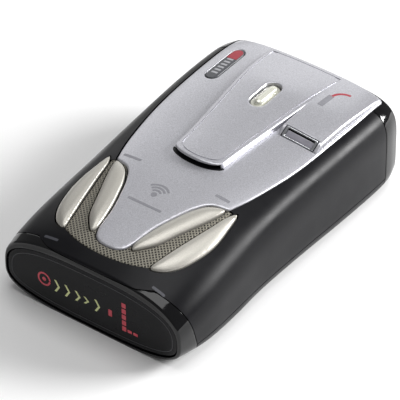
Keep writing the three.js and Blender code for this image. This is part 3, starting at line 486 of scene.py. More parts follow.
def loft(rings):
    """Joins closed rings of points with faces and closes both ends."""
    bm = bmesh.new()
    count = len(rings[0])
    bmesh.ops.create_grid(bm, x_segments=count, y_segments=len(rings) - 1, size=1)
    bm.verts.ensure_lookup_table()
    for j, ring in enumerate(rings):
        for i in range(count + 1):
            bm.verts[j * (count + 1) + i].co = ring[i % count]
    bmesh.ops.remove_doubles(bm, verts=bm.verts[:], dist=1e-5)
    bmesh.ops.holes_fill(bm, edges=[e for e in bm.edges if e.is_boundary], sides=0)
    bmesh.ops.recalc_face_normals(bm, faces=bm.faces[:])
    return bm


def case_loft(start, end, steps, count, side=0.0, over=0.0, rim=0.0):
    """The case skin between two places, with its ends rolled in by the rim radius."""
    stations = []
    for i in range(steps + 1):
        y = start + (end - start) * i / steps
        stations.append((y, side, over))
    if rim:
        inner = [s for s in stations if start + rim < s[0] < end - rim]
        turns = [math.pi / 2 * k / 4 for k in range(5)]
        front = [
            (start + rim * (1 - math.sin(a)), side + rim * (1 - math.cos(a))) for a in turns
        ]
        back = [(end - rim * (1 - math.sin(a)), side + rim * (1 - math.cos(a))) for a in turns]
        stations = (
            [(y, s, over + s - side) for y, s in reversed(front)]
            + inner
            + [(y, s, over + s - side) for y, s in back]
        )
    return loft([section_ring(y, count, s, o) for y, s, o in stations])


def edge_loop(bm, points):
    verts = [bm.verts.new(p) for p in points]
    return [bm.edges.new(pair) for pair in zip(verts, verts[1:] + verts[:1])]


def level(height):
    """A flat surface."""
    return lambda x, y: height


def shifted(surface, distance):
    """A surface moved up by a distance."""
    return lambda x, y: surface(x, y) + distance


def fill_outlines(bm, outlines):
    """Fills a flat outline, the first, and leaves holes for the rest."""
    for outline in outlines:
        edge_loop(bm, [(x, y, 0) for x, y in outline])
    bmesh.ops.triangle_fill(bm, use_beauty=True, edges=bm.edges[:], normal=(0, 0, 1))


def cut_grid(bm, cell):
    """Cuts a flat shape into cells, so that it can follow a curved surface."""
    for axis in (0, 1):
        low = min(v.co[axis] for v in bm.verts)
        high = max(v.co[axis] for v in bm.verts)
        count = max(round((high - low) / cell), 1)
        normal = Vector((1 - axis, axis, 0))
        for i in range(1, count):
            bmesh.ops.bisect_plane(
                bm,
                geom=bm.verts[:] + bm.edges[:] + bm.faces[:],
                dist=1e-4,
                plane_co=normal * (low + (high - low) * i / count),
                plane_no=normal,
            )


def plate(outlines, top, bottom, cell, edge=0.0, steps=4):
    """A closed slab over a plan outline, the first, with holes, the rest. Its faces
    follow the heights top and bottom, and its upper rims are rolled to a radius."""
    bm = bmesh.new()
    fall = bm.verts.layers.float.new("fall")
    middle = bm.faces.layers.int.new("middle")
    fill_outlines(bm, outlines)
    inner = bm.faces[:]
    reached = 0.0
    for vert in bm.verts:
        vert[fall] = edge
    for step in range(1, steps + 1 if edge else 1):
        angle = math.pi / 2 * step / steps
        reach = edge * (1 - math.cos(angle))
        bmesh.ops.inset_region(
            bm, faces=inner, use_boundary=True, use_even_offset=True, thickness=reach - reached
        )
        reached = reach
        for face in inner:
            for vert in face.verts:
                vert[fall] = edge * (1 - math.sin(angle))
    for face in inner:
        face[middle] = 1
    cut_grid(bm, cell)
    slanting = [
        e
        for e in bm.edges
        if len(e.link_faces) == 2
        and all(f[middle] for f in e.link_faces)
        and min(abs(e.verts[0].co.x - e.verts[1].co.x), abs(e.verts[0].co.y - e.verts[1].co.y))
        > 1e-3
    ]
    bmesh.ops.dissolve_edges(bm, edges=slanting, use_verts=True)
    rim = [e for e in bm.edges if e.is_boundary]
    for vert in bm.verts:
        vert.co.z = top(vert.co.x, vert.co.y) - vert[fall]
    made = bmesh.ops.extrude_edge_only(bm, edges=rim)["geom"]
    for vert in made:
        if isinstance(vert, bmesh.types.BMVert):
            vert.co.z = bottom(vert.co.x, vert.co.y)
    lower = [e for e in made if isinstance(e, bmesh.types.BMEdge) and e.is_boundary]
    bmesh.ops.triangle_fill(bm, use_beauty=True, edges=lower, normal=(0, 0, -1))
    bmesh.ops.recalc_face_normals(bm, faces=bm.faces[:])
    return bm


def inlay(outlines, place, cell=1.0, thickness=0.06):
    """A thin closed mark: a flat shape cut into cells and laid where place(u, v, lift)
    puts its points."""
    bm = bmesh.new()
    lift = bm.verts.layers.float.new("lift")
    fill_outlines(bm, outlines)
    cut_grid(bm, cell)
    base = bm.faces[:]
    made = bmesh.ops.extrude_face_region(bm, geom=base, use_keep_orig=True)["geom"]
    for vert in made:
        if isinstance(vert, bmesh.types.BMVert):
            vert[lift] = thickness
    for vert in bm.verts:
        vert.co = place(vert.co.x, vert.co.y, vert[lift] - thickness / 2)
    bmesh.ops.recalc_face_normals(bm, faces=bm.faces[:])
    return bm


def box(x0, x1, y0, y1, z0, z1):
    bm = bmesh.new()
    bmesh.ops.create_cube(bm, size=1)
    bmesh.ops.scale(bm, verts=bm.verts[:], vec=(x1 - x0, y1 - y0, z1 - z0))
    bmesh.ops.translate(
        bm, verts=bm.verts[:], vec=((x0 + x1) / 2, (y0 + y1) / 2, (z0 + z1) / 2)
    )
    return bm


def rod(radius, start, end, sides=32):
    """A round bar from start to end."""
    bm = bmesh.new()
    axis = Vector(end) - Vector(start)
    turn = axis.to_track_quat("Z", "Y").to_matrix().to_4x4()
    bmesh.ops.create_cone(
        bm,
        cap_ends=True,
        segments=sides,
        radius1=radius,
        radius2=radius,
        depth=axis.length,
        matrix=Matrix.Translation((Vector(start) + Vector(end)) / 2) @ turn,
    )
    return bm


def prism(outline, z0, z1):
    """An upright prism over a plan outline."""
    bm = bmesh.new()
    bmesh.ops.triangle_fill(
        bm, edges=edge_loop(bm, [(x, y, z0) for x, y in outline]), normal=(0, 0, -1)
    )
    made = bmesh.ops.extrude_face_region(bm, geom=bm.faces[:], use_keep_orig=True)["geom"]
    top = [v for v in made if isinstance(v, bmesh.types.BMVert)]
    bmesh.ops.translate(bm, verts=top, vec=(0, 0, z1 - z0))
    bmesh.ops.recalc_face_normals(bm, faces=bm.faces[:])
    return bm


def turned(profile, sides=64):
    """A shape turned about z from (radius, height) points that start and end on it."""
    bm = bmesh.new()
    verts = [bm.verts.new((r, 0, z)) for r, z in profile]
    edges = [bm.edges.new(pair) for pair in zip(verts, verts[1:])]
    bmesh.ops.spin(
        bm,
        geom=verts + edges,
        axis=(0, 0, 1),
        cent=(0, 0, 0),
        angle=2 * math.pi,
        steps=sides,
        use_merge=True,
    )
    bmesh.ops.remove_doubles(bm, verts=bm.verts[:], dist=1e-5)
    bmesh.ops.recalc_face_normals(bm, faces=bm.faces[:])
    return bm


def to_object(name, bm):
    mesh = bpy.data.meshes.new(name)
    bm.to_mesh(mesh)
    bm.free()
    made = bpy.data.objects.new(name, mesh)
    bpy.context.scene.collection.objects.link(made)
    return made


def apply_modifiers(obj):
    graph = bpy.context.evaluated_depsgraph_get()
    mesh = bpy.data.meshes.new_from_object(obj.evaluated_get(graph), depsgraph=graph)
    old = obj.data
    obj.modifiers.clear()
    obj.data = mesh
    bpy.data.meshes.remove(old)


def carve(obj, cutters, operation="DIFFERENCE"):
    """Cuts bmeshes out of a piece, or joins them on."""
    tools = [to_object(f"cutter_{i}", bm) for i, bm in enumerate(cutters)]
    for tool in tools:
        cut = obj.modifiers.new(tool.name, "BOOLEAN")
        cut.operation = operation
        cut.solver = "MANIFOLD"
        cut.object = tool
    apply_modifiers(obj)
    for tool in tools:
        bpy.data.meshes.remove(tool.data)


def ease_edges(obj, width, angle=40, segments=2):
    """Takes the sharpness off the corners that cuts have left."""
    ease = obj.modifiers.new("ease", "BEVEL")
    ease.width = width
    ease.segments = segments
    ease.limit_method = "ANGLE"
    ease.angle_limit = math.radians(angle)
    ease.miter_outer = "MITER_ARC"
    ease.use_clamp_overlap = True
    apply_modifiers(obj)


def relax_crown(bm, rounds):
    """Evens out the heights inside a pad, so that its crown has no ridges."""
    inner = [
        v for v in bm.verts if not v.is_boundary and all(f.normal.z > 0.3 for f in v.link_faces)
    ]
    for _ in range(rounds):
        bmesh.ops.smooth_vert(
            bm, verts=inner, factor=0.5, use_axis_x=False, use_axis_y=False, use_axis_z=True
        )
    return bm


def finish_piece(obj, material, replaces=None, body="case", sharp=38):
    """Turns a piece to metres, smooths it, and fixes it to its body."""
    obj.data.transform(Matrix.Scale(MM, 4))
    obj.data.shade_smooth()
    obj.data.set_sharp_from_angle(angle=math.radians(sharp))
    obj.data.materials.clear()
    obj.data.materials.append(material)
    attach(obj, body)
    if replaces:
        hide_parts(replaces)
    return obj


def add_piece(name, bm, material, replaces=None, body="case", sharp=38):
    """Makes a finished piece straight from its bmesh."""
    return finish_piece(to_object(name, bm), material, replaces, body, sharp)


# ------------------------------------------------------------------- materials


def linear(code):
    """A #RRGGBB colour as linear red, green, blue and alpha."""
    parts = [int(code[i : i + 2], 16) / 255 for i in (1, 3, 5)]
    return tuple(
        p / 12.92 if p <= 0.04045 else ((p + 0.055) / 1.055) ** 2.4 for p in parts
    ) + (1.0,)


def toned(colour, share):
    """A colour multiplied by a share, to make it lighter or darker."""
    return tuple(min(c * share, 1) for c in colour[:3]) + (1.0,)


def add_node(tree, kind, inputs=None, **settings):
    """Adds a node, with its settings and its inputs as values or links."""
    node = tree.nodes.new(kind)
    for name, value in settings.items():
        setattr(node, name, value)
    for name, value in (inputs or {}).items():
        if isinstance(value, bpy.types.NodeSocket):
            tree.links.new(value, node.inputs[name])
        else:
            node.inputs[name].default_value = value
    return node


def new_material(name, colour, roughness, **inputs):
    """A material with a plain Principled shader; returns it, its tree and its shader."""
    material = bpy.data.materials.new(name)
    material.use_nodes = True
    tree = material.node_tree
    shader = tree.nodes["Principled BSDF"]
    shader.inputs["Base Color"].default_value = colour
    shader.inputs["Roughness"].default_value = roughness
    for key, value in inputs.items():
        shader.inputs[key.replace("_", " ")].default_value = value
    return material, tree, shader


def grain(tree, shader, size, depth, strength, detail=2.0):
    """Fine bumps of a size and depth in millimetres, on Object coordinates."""
    place = add_node(tree, "ShaderNodeTexCoord").outputs["Object"]
    noise = add_node(
        tree,
        "ShaderNodeTexNoise",
        {"Vector": place, "Scale": 1 / (size * MM), "Detail": detail},
    )
    bump = add_node(
        tree,
        "ShaderNodeBump",
        {"Height": noise.outputs["Fac"], "Distance": depth * MM, "Strength": strength},
    )
    tree.links.new(bump.outputs["Normal"], shader.inputs["Normal"])


def uneven(tree, socket, size, low, high, detail=3.0, stretch=(1, 1, 1)):
    """Lets a value or colour wander between two ends over patches of a size in mm."""
    place = add_node(tree, "ShaderNodeTexCoord").outputs["Object"]
    mapped = add_node(tree, "ShaderNodeMapping", {"Vector": place, "Scale": stretch})
    noise = add_node(
        tree,
        "ShaderNodeTexNoise",
        {"Vector": mapped.outputs["Vector"], "Scale": 1 / (size * MM), "Detail": detail},
    )
    if isinstance(low, tuple):
        ramp = add_node(tree, "ShaderNodeValToRGB", {"Fac": noise.outputs["Fac"]})
        ramp.color_ramp.elements[0].position = 0.35
        ramp.color_ramp.elements[0].color = low
        ramp.color_ramp.elements[1].position = 0.65
        ramp.color_ramp.elements[1].color = high
        tree.links.new(ramp.outputs["Color"], socket)
    else:
        spread = add_node(
            tree,
            "ShaderNodeMapRange",
            {
                "Value": noise.outputs["Fac"],
                "From Min": 0.35,
                "From Max": 0.65,
                "To Min": low,
                "To Max": high,
            },
        )
        tree.links.new(spread.outputs["Result"], socket)


def satin_black_abs(colour):
    """Moulded ABS, spark-eroded mould: a soft sheen broken by a very fine grain."""
    material, tree, shader = new_material(
        "satin_black_abs", colour, 0.34, IOR=1.53, Specular_IOR_Level=0.16
    )
    grain(tree, shader, 0.35, 0.02, 0.25)
    uneven(tree, shader.inputs["Roughness"], 9, 0.3, 0.38)
    return material


def piano_black_abs(colour):
    """Polished ABS: black with mirror-like edges and a few faint handling smears."""
    material, tree, shader = new_material(
        "piano_black_abs", colour, 0.07, IOR=1.53, Specular_IOR_Level=0.4
    )
    uneven(tree, shader.inputs["Roughness"], 6, 0.05, 0.12)
    return material


def smoked_polycarbonate(colour):
    """Tinted polycarbonate: a dark pane whose even gloss shows faint polishing marks."""
    material, tree, shader = new_material(
        "smoked_polycarbonate", colour, 0.12, IOR=1.58, Specular_IOR_Level=0.12
    )
    uneven(tree, shader.inputs["Roughness"], 5, 0.1, 0.17)
    dark = toned(colour, 0.8)
    uneven(tree, shader.inputs["Base Color"], 16, dark, colour)
    return material


def silver_lacquer(colour):
    """Metallic lacquer on ABS: aluminium flake under clear coat, so it sparkles a little
    and turns from light to dark with the angle of the surface."""
    material, tree, shader = new_material(
        "silver_lacquer", colour, 0.36, Metallic=0.72, Coat_Weight=0.35, Coat_Roughness=0.18
    )
    light = toned(colour, 1.13)
    dark = toned(colour, 0.87)
    uneven(tree, shader.inputs["Base Color"], 0.3, dark, light, detail=1.0)
    grain(tree, shader, 0.22, 0.01, 0.2, detail=1.0)
    return material


def pearl_lacquer(colour):
    """Champagne pearl lacquer on small moulded keys: warm silver with a soft, even sheen."""
    material, tree, shader = new_material(
        "pearl_lacquer", colour, 0.4, Metallic=0.55, Coat_Weight=0.25, Coat_Roughness=0.25
    )
    light = toned(colour, 1.05)
    dark = toned(colour, 0.95)
    uneven(tree, shader.inputs["Base Color"], 0.35, dark, light, detail=1.0)
    return material


def woven_wire(colour):
    """Woven wire cloth over the speaker, lacquered taupe. The real wires are about
    0.25 mm apart; they are drawn 0.9 mm apart so that the diagonal weave shows."""
    material, tree, shader = new_material("woven_wire", colour, 0.5, Metallic=0.35)
    place = add_node(tree, "ShaderNodeTexCoord").outputs["Object"]
    turned_place = add_node(
        tree, "ShaderNodeMapping", {"Vector": place, "Rotation": (0, 0, math.radians(45))}
    ).outputs["Vector"]
    waves = []
    for direction in ("X", "Y"):
        waves.append(
            add_node(
                tree,
                "ShaderNodeTexWave",
                {"Vector": turned_place, "Scale": math.pi / 10 / (0.9 * MM)},
                bands_direction=direction,
            ).outputs["Fac"]
        )
    crossed = add_node(
        tree, "ShaderNodeMath", {0: waves[0], 1: waves[1]}, operation="MAXIMUM"
    ).outputs["Value"]
    shade = add_node(tree, "ShaderNodeValToRGB", {"Fac": crossed})
    shade.color_ramp.elements[0].position = 0.45
    shade.color_ramp.elements[0].color = linear("#2E2C28")
    shade.color_ramp.elements[1].position = 0.9
    shade.color_ramp.elements[1].color = colour
    tree.links.new(shade.outputs["Color"], shader.inputs["Base Color"])
    bump = add_node(
        tree, "ShaderNodeBump", {"Height": crossed, "Distance": 0.2 * MM, "Strength": 0.9}
    )
    tree.links.new(bump.outputs["Normal"], shader.inputs["Normal"])
    return material


def chromed_abs(colour):
    """Chrome-plated ABS: bright, hard reflections with hardly any haze."""
    material, tree, shader = new_material("chromed_abs", colour, 0.12, Metallic=1.0)
    uneven(tree, shader.inputs["Roughness"], 2, 0.08, 0.18)
    return material


def violet_glass(colour):
    """Coated infra-red filter: grey-violet, glossy, a little lighter in patches."""
    material, tree, shader = new_material(
        "violet_glass", colour, 0.1, IOR=1.5, Coat_Weight=0.8, Coat_Roughness=0.05
    )
    dark = toned(colour, 0.85)
    uneven(tree, shader.inputs["Base Color"], 3, dark, colour)
    return material


def deep_red_acrylic(colour):
    """Infra-red window moulded in dark red acrylic: nearly black, glossy."""
    material, tree, shader = new_material("deep_red_acrylic", colour, 0.1, IOR=1.49)
    dark = toned(colour, 0.75)
    uneven(tree, shader.inputs["Base Color"], 12, dark, colour)
    uneven(tree, shader.inputs["Roughness"], 5, 0.07, 0.13)
    return material


def cream_lacquer(colour):
    """Cream pearl lacquer: pale and glossy, with a faint warm mottle."""
    material, tree, shader = new_material(
        "cream_lacquer", colour, 0.25, Metallic=0.3, Coat_Weight=0.5, Coat_Roughness=0.1
    )
    dark = toned(colour, 0.9)
    uneven(tree, shader.inputs["Base Color"], 0.6, dark, colour, detail=1.0)
    return material


def ink_and_highlight_paint(name, colour, roughness=0.45):
    """Pad-printed ink, and painted highlight for the window's border ring: flat colour,
    slightly mottled, with a dull edge of its own.
    """
    material, tree, shader = new_material(name, colour, roughness)
    dark = toned(colour, 0.88)
    uneven(tree, shader.inputs["Base Color"], 0.8, dark, colour)
    grain(tree, shader, 0.4, 0.01, 0.2)
    return material


def lit_segment(name, colour, strength):
    """A lit display segment seen through smoked plastic: dim, soft and even."""
    material, tree, shader = new_material(name, colour, 0.4)
    dark = toned(colour, 0.8)
    uneven(tree, shader.inputs["Base Color"], 1.2, dark, colour)
    shader.inputs["Emission Color"].default_value = colour
    shader.inputs["Emission Strength"].default_value = strength
    return material


def glass_filled_nylon():
    """Glass-filled nylon: dull black with a dry, slightly fibrous grain."""
    material, tree, shader = new_material("glass_filled_nylon", linear("#17171A"), 0.55)
    grain(tree, shader, 0.5, 0.03, 0.4, detail=4.0)
    uneven(tree, shader.inputs["Roughness"], 3, 0.48, 0.62)
    return material


def spring_steel():
    """Drawn spring wire: bright steel with fine marks along it."""
    material, tree, shader = new_material("spring_steel", linear("#C2C4C8"), 0.28, Metallic=1.0)
    uneven(tree, shader.inputs["Roughness"], 0.4, 0.2, 0.38, stretch=(1, 1, 6))
    return material


def zinc_plated_steel():
    """Zinc-plated screw: pale grey-blue metal, mottled by the plating."""
    material, tree, shader = new_material(
        "zinc_plated_steel", linear("#B9BDC3"), 0.32, Metallic=1.0
    )
    uneven(tree, shader.inputs["Base Color"], 0.7, linear("#A9AEB6"), linear("#C6C9CE"))
    uneven(tree, shader.inputs["Roughness"], 0.5, 0.26, 0.42)
    return material


def tinplate():
    """Tinned sheet steel can: soft grey mirror with rolling streaks."""
    material, tree, shader = new_material("tinplate", linear("#B4B6B8"), 0.3, Metallic=1.0)
    uneven(tree, shader.inputs["Roughness"], 1.2, 0.22, 0.4, stretch=(8, 1, 1))
    return material


def cast_zinc():
    """Die-cast zinc antenna: cool grey, finely pitted."""
    material, tree, shader = new_material("cast_zinc", linear("#A9ACB0"), 0.42, Metallic=0.9)
    grain(tree, shader, 0.4, 0.04, 0.35, detail=4.0)
    uneven(tree, shader.inputs["Base Color"], 2, linear("#9A9DA2"), linear("#B6B9BD"))
    return material


def solder_masked_board():
    """Glass-epoxy board: green lacquer with paler copper tracks showing through."""
    material, tree, shader = new_material(
        "solder_masked_board", linear("#1F5B38"), 0.35, IOR=1.55
    )
    place = add_node(tree, "ShaderNodeTexCoord").outputs["Object"]
    tracks = add_node(
        tree,
        "ShaderNodeTexBrick",
        {
            "Vector": place,
            "Color1": linear("#1F5B38"),
            "Color2": linear("#1A4E30"),
            "Mortar": linear("#3B7D54"),
            "Scale": 120.0,
            "Mortar Size": 0.03,
        },
    )
    tree.links.new(tracks.outputs["Color"], shader.inputs["Base Color"])
    grain(tree, shader, 0.6, 0.02, 0.2)
    return material


def pulp_cone():
    """Pressed paper cone: matt black with loose fibres."""
    material, tree, shader = new_material("pulp_cone", linear("#2A2A2C"), 0.9)
    grain(tree, shader, 0.3, 0.05, 0.6, detail=6.0)
    uneven(tree, shader.inputs["Base Color"], 0.6, linear("#232325"), linear("#333335"))
    return material


# ------------------------------------------------------------ sizes and colours


def size_property(name, description, millimetres):
    return bpy.props.FloatProperty(
        name=name, description=description, default=millimetres * MM, unit="LENGTH", precision=5
    )


class RadarSizes(bpy.types.PropertyGroup):
    """Sizes of the finished surfaces."""

    cover_edge: size_property("Cover edge", "Rolled edge of the silver cover", 0.6)
    hood_edge: size_property("Hood edge", "Rolled edge of the hood and the sensor housing", 0.5)
    case_rim: size_property("Case rim", "Radius that rolls in both ends of the case", 0.7)
    key_rise: size_property("Key rise", "How far a key's middle stands over the case", 1.1)
    surface_cell: size_property("Surface cell", "Spacing of the mesh on the cover", 0.9)


def colour_property(name, description, code):
    return bpy.props.FloatVectorProperty(
        name=name,
        description=description,
        default=linear(code),
        size=4,
        subtype="COLOR",
        min=0.0,
        max=1.0,
    )


class RadarColours(bpy.types.PropertyGroup):
    """Colours of the finishes."""

    case: colour_property("Case", "Satin black of the case", "#111114")
    bezel: colour_property("Bezels", "Gloss black of both ends", "#08080A")
    window: colour_property("Display window", "Smoked pane", "#19191B")
    cover: colour_property("Cover", "Silver lacquer of the top cover", "#C3C3C9")
    key: colour_property("Keys", "Champagne pearl of the keys", "#B9B6AE")
    cloth: colour_property("Speaker cloth", "Lacquered wire cloth", "#8C887C")
    release: colour_property("Release button", "Cream pearl", "#DCDCCF")
    sensor: colour_property("Sensor window", "Grey-violet filter", "#B4B2BD")
    badge: colour_property("Badge", "Charcoal inlay", "#4A4B50")
    red: colour_property("Red marks", "Red ink and segments", "#A23440")
    segments: colour_property("Display symbols", "Yellow-green segments", "#B5BA85")
    floor: colour_property("Floor", "Pale floor", "#FAFAFA")


def colours(context):
    return {
        key: tuple(getattr(context.scene.radar_colours, key))
        for key in RadarColours.__annotations__
    }


def sizes(context):
    return {
        key: in_mm(getattr(context.scene.radar_sizes, key))
        for key in RadarSizes.__annotations__
    }


# ------------------------------------------------------------------ case pieces

BEZEL_DEPTH = 9.0
BEZEL_LEAN = 0.27
LIP = 22.4
REAR_DEPTH = 7.5
WINDOW_TOP = 20.5


def bezel_edge(z, gap=0.0):
    return FRONT + BEZEL_DEPTH - BEZEL_LEAN * z + gap


def front_zone(gap):
    """Everything in front of the bezel's rear edge and under the brow."""
    top = LIP + gap
    bm = prism(
        anticlockwise(
            [
                (FRONT - MARGIN, BELOW),
                (bezel_edge(BELOW, gap), BELOW),
                (bezel_edge(top, gap), top),
                (FRONT - MARGIN, top),
            ]
        ),
        -HALF - MARGIN,
        HALF + MARGIN,
    )
    turn = Matrix(((0, 0, 1, 0), (1, 0, 0, 0), (0, 1, 0, 0), (0, 0, 0, 1)))
    bmesh.ops.transform(bm, verts=bm.verts[:], matrix=turn)
    bmesh.ops.recalc_face_normals(bm, faces=bm.faces[:])
    return bm


def around(z0, z1, y0=None, y1=None):
    """A block wider than the case, between two heights or two places along it."""
    return box(
        -HALF - MARGIN,
        HALF + MARGIN,
        FRONT - MARGIN if y0 is None else y0,
        REAR + MARGIN if y1 is None else y1,
        z0,
        z1,
    )


def cavity():
    bm = case_loft(
        FRONT + 3.2, REAR - WALL, 40, 64, side=WALL, over=COVER_WALL + FIT + DECK_WALL
    )
    for vert in bm.verts:
        vert.co.z = max(vert.co.z, FLOOR)
    return bm


def wheel_place():
    low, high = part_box("volume_wheel")
    middle = (low + high) / 2
    return Vector((in_mm(middle.x), in_mm(middle.y), in_mm(middle.z)))


def screw_places():
    places = []
    for i in range(1, 5):
        low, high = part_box(f"case_screw_{i}")
        places.append(((in_mm(low.x) + in_mm(high.x)) / 2, (in_mm(low.y) + in_mm(high.y)) / 2))
    return places


def key_shapes():
    """Each key's name, plan outline and joint body."""
    return (
        ("menu_button", mirrored(OUTER_KEY), "menu_key"),
        ("mute_button", mirrored(INNER_KEY), "mute_key"),
        ("dim_button", INNER_KEY, "dim_key"),
        ("city_button", OUTER_KEY, "city_key"),
    )


def whole_case(rim, steps=132, count=144):
    bm = case_loft(FRONT, REAR, steps, count, rim=rim)
    bmesh.ops.bisect_plane(
        bm,
        geom=bm.verts[:] + bm.edges[:] + bm.faces[:],
        dist=1e-4,
        plane_co=(0, 0, 0),
        plane_no=(0, 0, 1),
        clear_inner=True,
    )
    bmesh.ops.holes_fill(bm, edges=[e for e in bm.edges if e.is_boundary], sides=0)
    bmesh.ops.recalc_face_normals(bm, faces=bm.faces[:])
    return bm


class RADAR_OT_case(bpy.types.Operator):
    """The satin black upper case and bottom cover"""

    bl_idname = "radar.case"
    bl_label = "Case and bottom cover"

    def execute(self, context):
        size, colour = sizes(context), colours(context)
        black = satin_black_abs(colour["case"])
        seat = grow(cover_outline(), FIT)
        cloth = grow(cloth_outline(), FIT)
        wheel = wheel_place()
        slot_half = WHEEL_HALF + SLIDE_FIT
        jack_low, jack_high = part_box("power_jack")
        jack_y = in_mm(jack_low.y + jack_high.y) / 2
        upper = to_object("case_top_shell", whole_case(size["case_rim"]))
        cutters = [
            cavity(),
            around(BELOW, PARTING + FIT),
            front_zone(FIT),
            around(BELOW, SKY, y0=REAR - REAR_DEPTH - FIT),
            plate([seat], deck_top, level(SKY), 3.0),
            plate([cloth], deck_top, level(SKY), 3.0),
            prism(grow(RELEASE, SLIDE_FIT), 15, SKY),
            box(
                wheel.x - 9.2,
                wheel.x,
                wheel.y - 6,
                wheel.y + 6,
                wheel.z - slot_half,
                wheel.z + slot_half,
            ),
            rod(4.5, (-HALF - 4, jack_y, JACK_HEIGHT), (4 - HALF, jack_y, JACK_HEIGHT), 48),
        ]
        cutters += [prism(grow(o, KEY_GAP), 15, SKY) for _, o, _ in key_shapes()]
        carve(upper, cutters)
        finish_piece(upper, black, "upper_case")

        lower = to_object("case_bottom_shell", whole_case(size["case_rim"], 100, 120))
        cutters = [
            cavity(),
            around(PARTING, SKY),
            front_zone(FIT),
            around(BELOW, SKY, y0=REAR - REAR_DEPTH - FIT),
        ]
        cutters += [rod(2.8, (x, y, -1), (x, y, 1.8), 48) for x, y in screw_places()]
        carve(lower, cutters)
        finish_piece(lower, black, "bottom_cover")
        return {"FINISHED"}


def window_outline(pull, count=120):
    half, _, widest, shoulder, foot = section_at(FRONT)
    return squircle(
        half - 1.1 - pull,
        WINDOW_TOP - widest - pull,
        widest - 0.8 - pull,
        shoulder,
        foot,
        widest,
        count,
    )


# Turns a shape drawn flat, with x across and y up, to face the driver.
FACING_DRIVER = Matrix.Rotation(math.radians(90), 4, "X")
FACING_SCREEN = Matrix(((1, 0, 0, 0), (0, 0, 1, 0), (0, 1, 0, 0), (0, 0, 0, 1)))


def standing(bm, matrix):
    bmesh.ops.transform(bm, verts=bm.verts[:], matrix=matrix)
    bmesh.ops.recalc_face_normals(bm, faces=bm.faces[:])
    return bm


class RADAR_OT_front_bezel(bpy.types.Operator):
    """The gloss black surround of the display"""

    bl_idname = "radar.front_bezel"
    bl_label = "Front bezel"

    def execute(self, context):
        size, colour = sizes(context), colours(context)
        bezel = to_object("display_surround", whole_case(size["case_rim"], 132, 168))
        keep = front_zone(0)
        carve(bezel, [keep], "INTERSECT")
        back = -FRONT - FIT - WINDOW_THICK
        carve(
            bezel,
            [
                cavity(),
                standing(prism(window_outline(-FIT), back - FIT, SKY), FACING_DRIVER),
                standing(prism(window_outline(2), back - 4, SKY), FACING_DRIVER),
            ],
        )
        ease_edges(bezel, 0.14)
        finish_piece(
            bezel, piano_black_abs(colour["bezel"]), "front_bezel"
        )
        return {"FINISHED"}


def on_window(u, v, lift):
    return Vector((u, FRONT + FIT - lift, v))


class RADAR_OT_display(bpy.types.Operator):
    """The smoked display window and its lit symbols"""

    bl_idname = "radar.display"
    bl_label = "Display window"

    def execute(self, context):
        colour = colours(context)
        face = -FRONT - FIT
        pane = plate(
            [window_outline(0)], level(face), level(face - WINDOW_THICK), 2.0, edge=0.4
        )
        add_piece(
            "display_pane",
            standing(pane, FACING_DRIVER),
            smoked_polycarbonate(colour["window"]),
            "display_window",
        )
        green = lit_segment("lit_green_segment", colour["segments"], 0.25)
        red = lit_segment("lit_red_segment", colour["red"], 0.3)
        # A lighter ring 1.5 mm inside the window's edge is painted highlight: it stands in for
        # the light caught along the window's edge.
        line = ink_and_highlight_paint("window_border_ink", linear("#2B2C30"))

        ring = [arc_band(-17.3, 10, 2.1, 0.6, 0, 352, 30)]
        dot = [arc_band(-17.3, 10, 0.35, 0.7, 0, 355, 14)]
        chevrons = []
        for x, height in ((-12.2, 4.2), (-8.4, 4.2), (-4.6, 3.6), (-1.4, 2.4), (2.6, 4.2)):
            base = 9.5 - height / 2
            chevrons.append(
                [
                    (x - 1.3, base),
                    (x - 0.55, base),
                    (x + 0.75, base + height / 2),
                    (x - 0.55, base + height),
                    (x - 1.3, base + height),
                    (x, base + height / 2),
                ]
            )
        meter = [rounded_bar(12, 5.9 + 2.15 * i, 1.5, 1.7, 0.2) for i in range(5)]
        meter += [rounded_bar(14 + 2.1 * i, 5.7, 1.6, 1.0, 0.2) for i in range(2)]
        marks = [
            ("display_ring", ring, red),
            ("display_ring_dot", dot, red),
            ("display_small_mark", [rounded_bar(7, 9.3, 1.3, 2.4, 0.3)], red),
        ]
        marks += [(f"display_chevron_{i}", [c], green) for i, c in enumerate(chevrons, 1)]
        marks += [(f"display_meter_{i}", [m], red) for i, m in enumerate(meter, 1)]
        # The painted highlight ring just inside the window's edge.
        border = [window_outline(1.5, 120), window_outline(1.75, 120)]
        marks.append(("display_border_line", border, line))
        for name, outlines, material in marks:
            add_piece(
                name,
                inlay([anticlockwise(o) for o in outlines], on_window, 3.0),
                material,
            )
        return {"FINISHED"}


def rear_window(grown):
    x, z0 = 0.7 * HALF + grown, 4.5 - grown
    z1 = in_mm(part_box("rear_lens")[1].z) + grown
    return round_corners([(-x, z0), (x, z0), (x, z1), (-x, z1)], 3.0, 8)


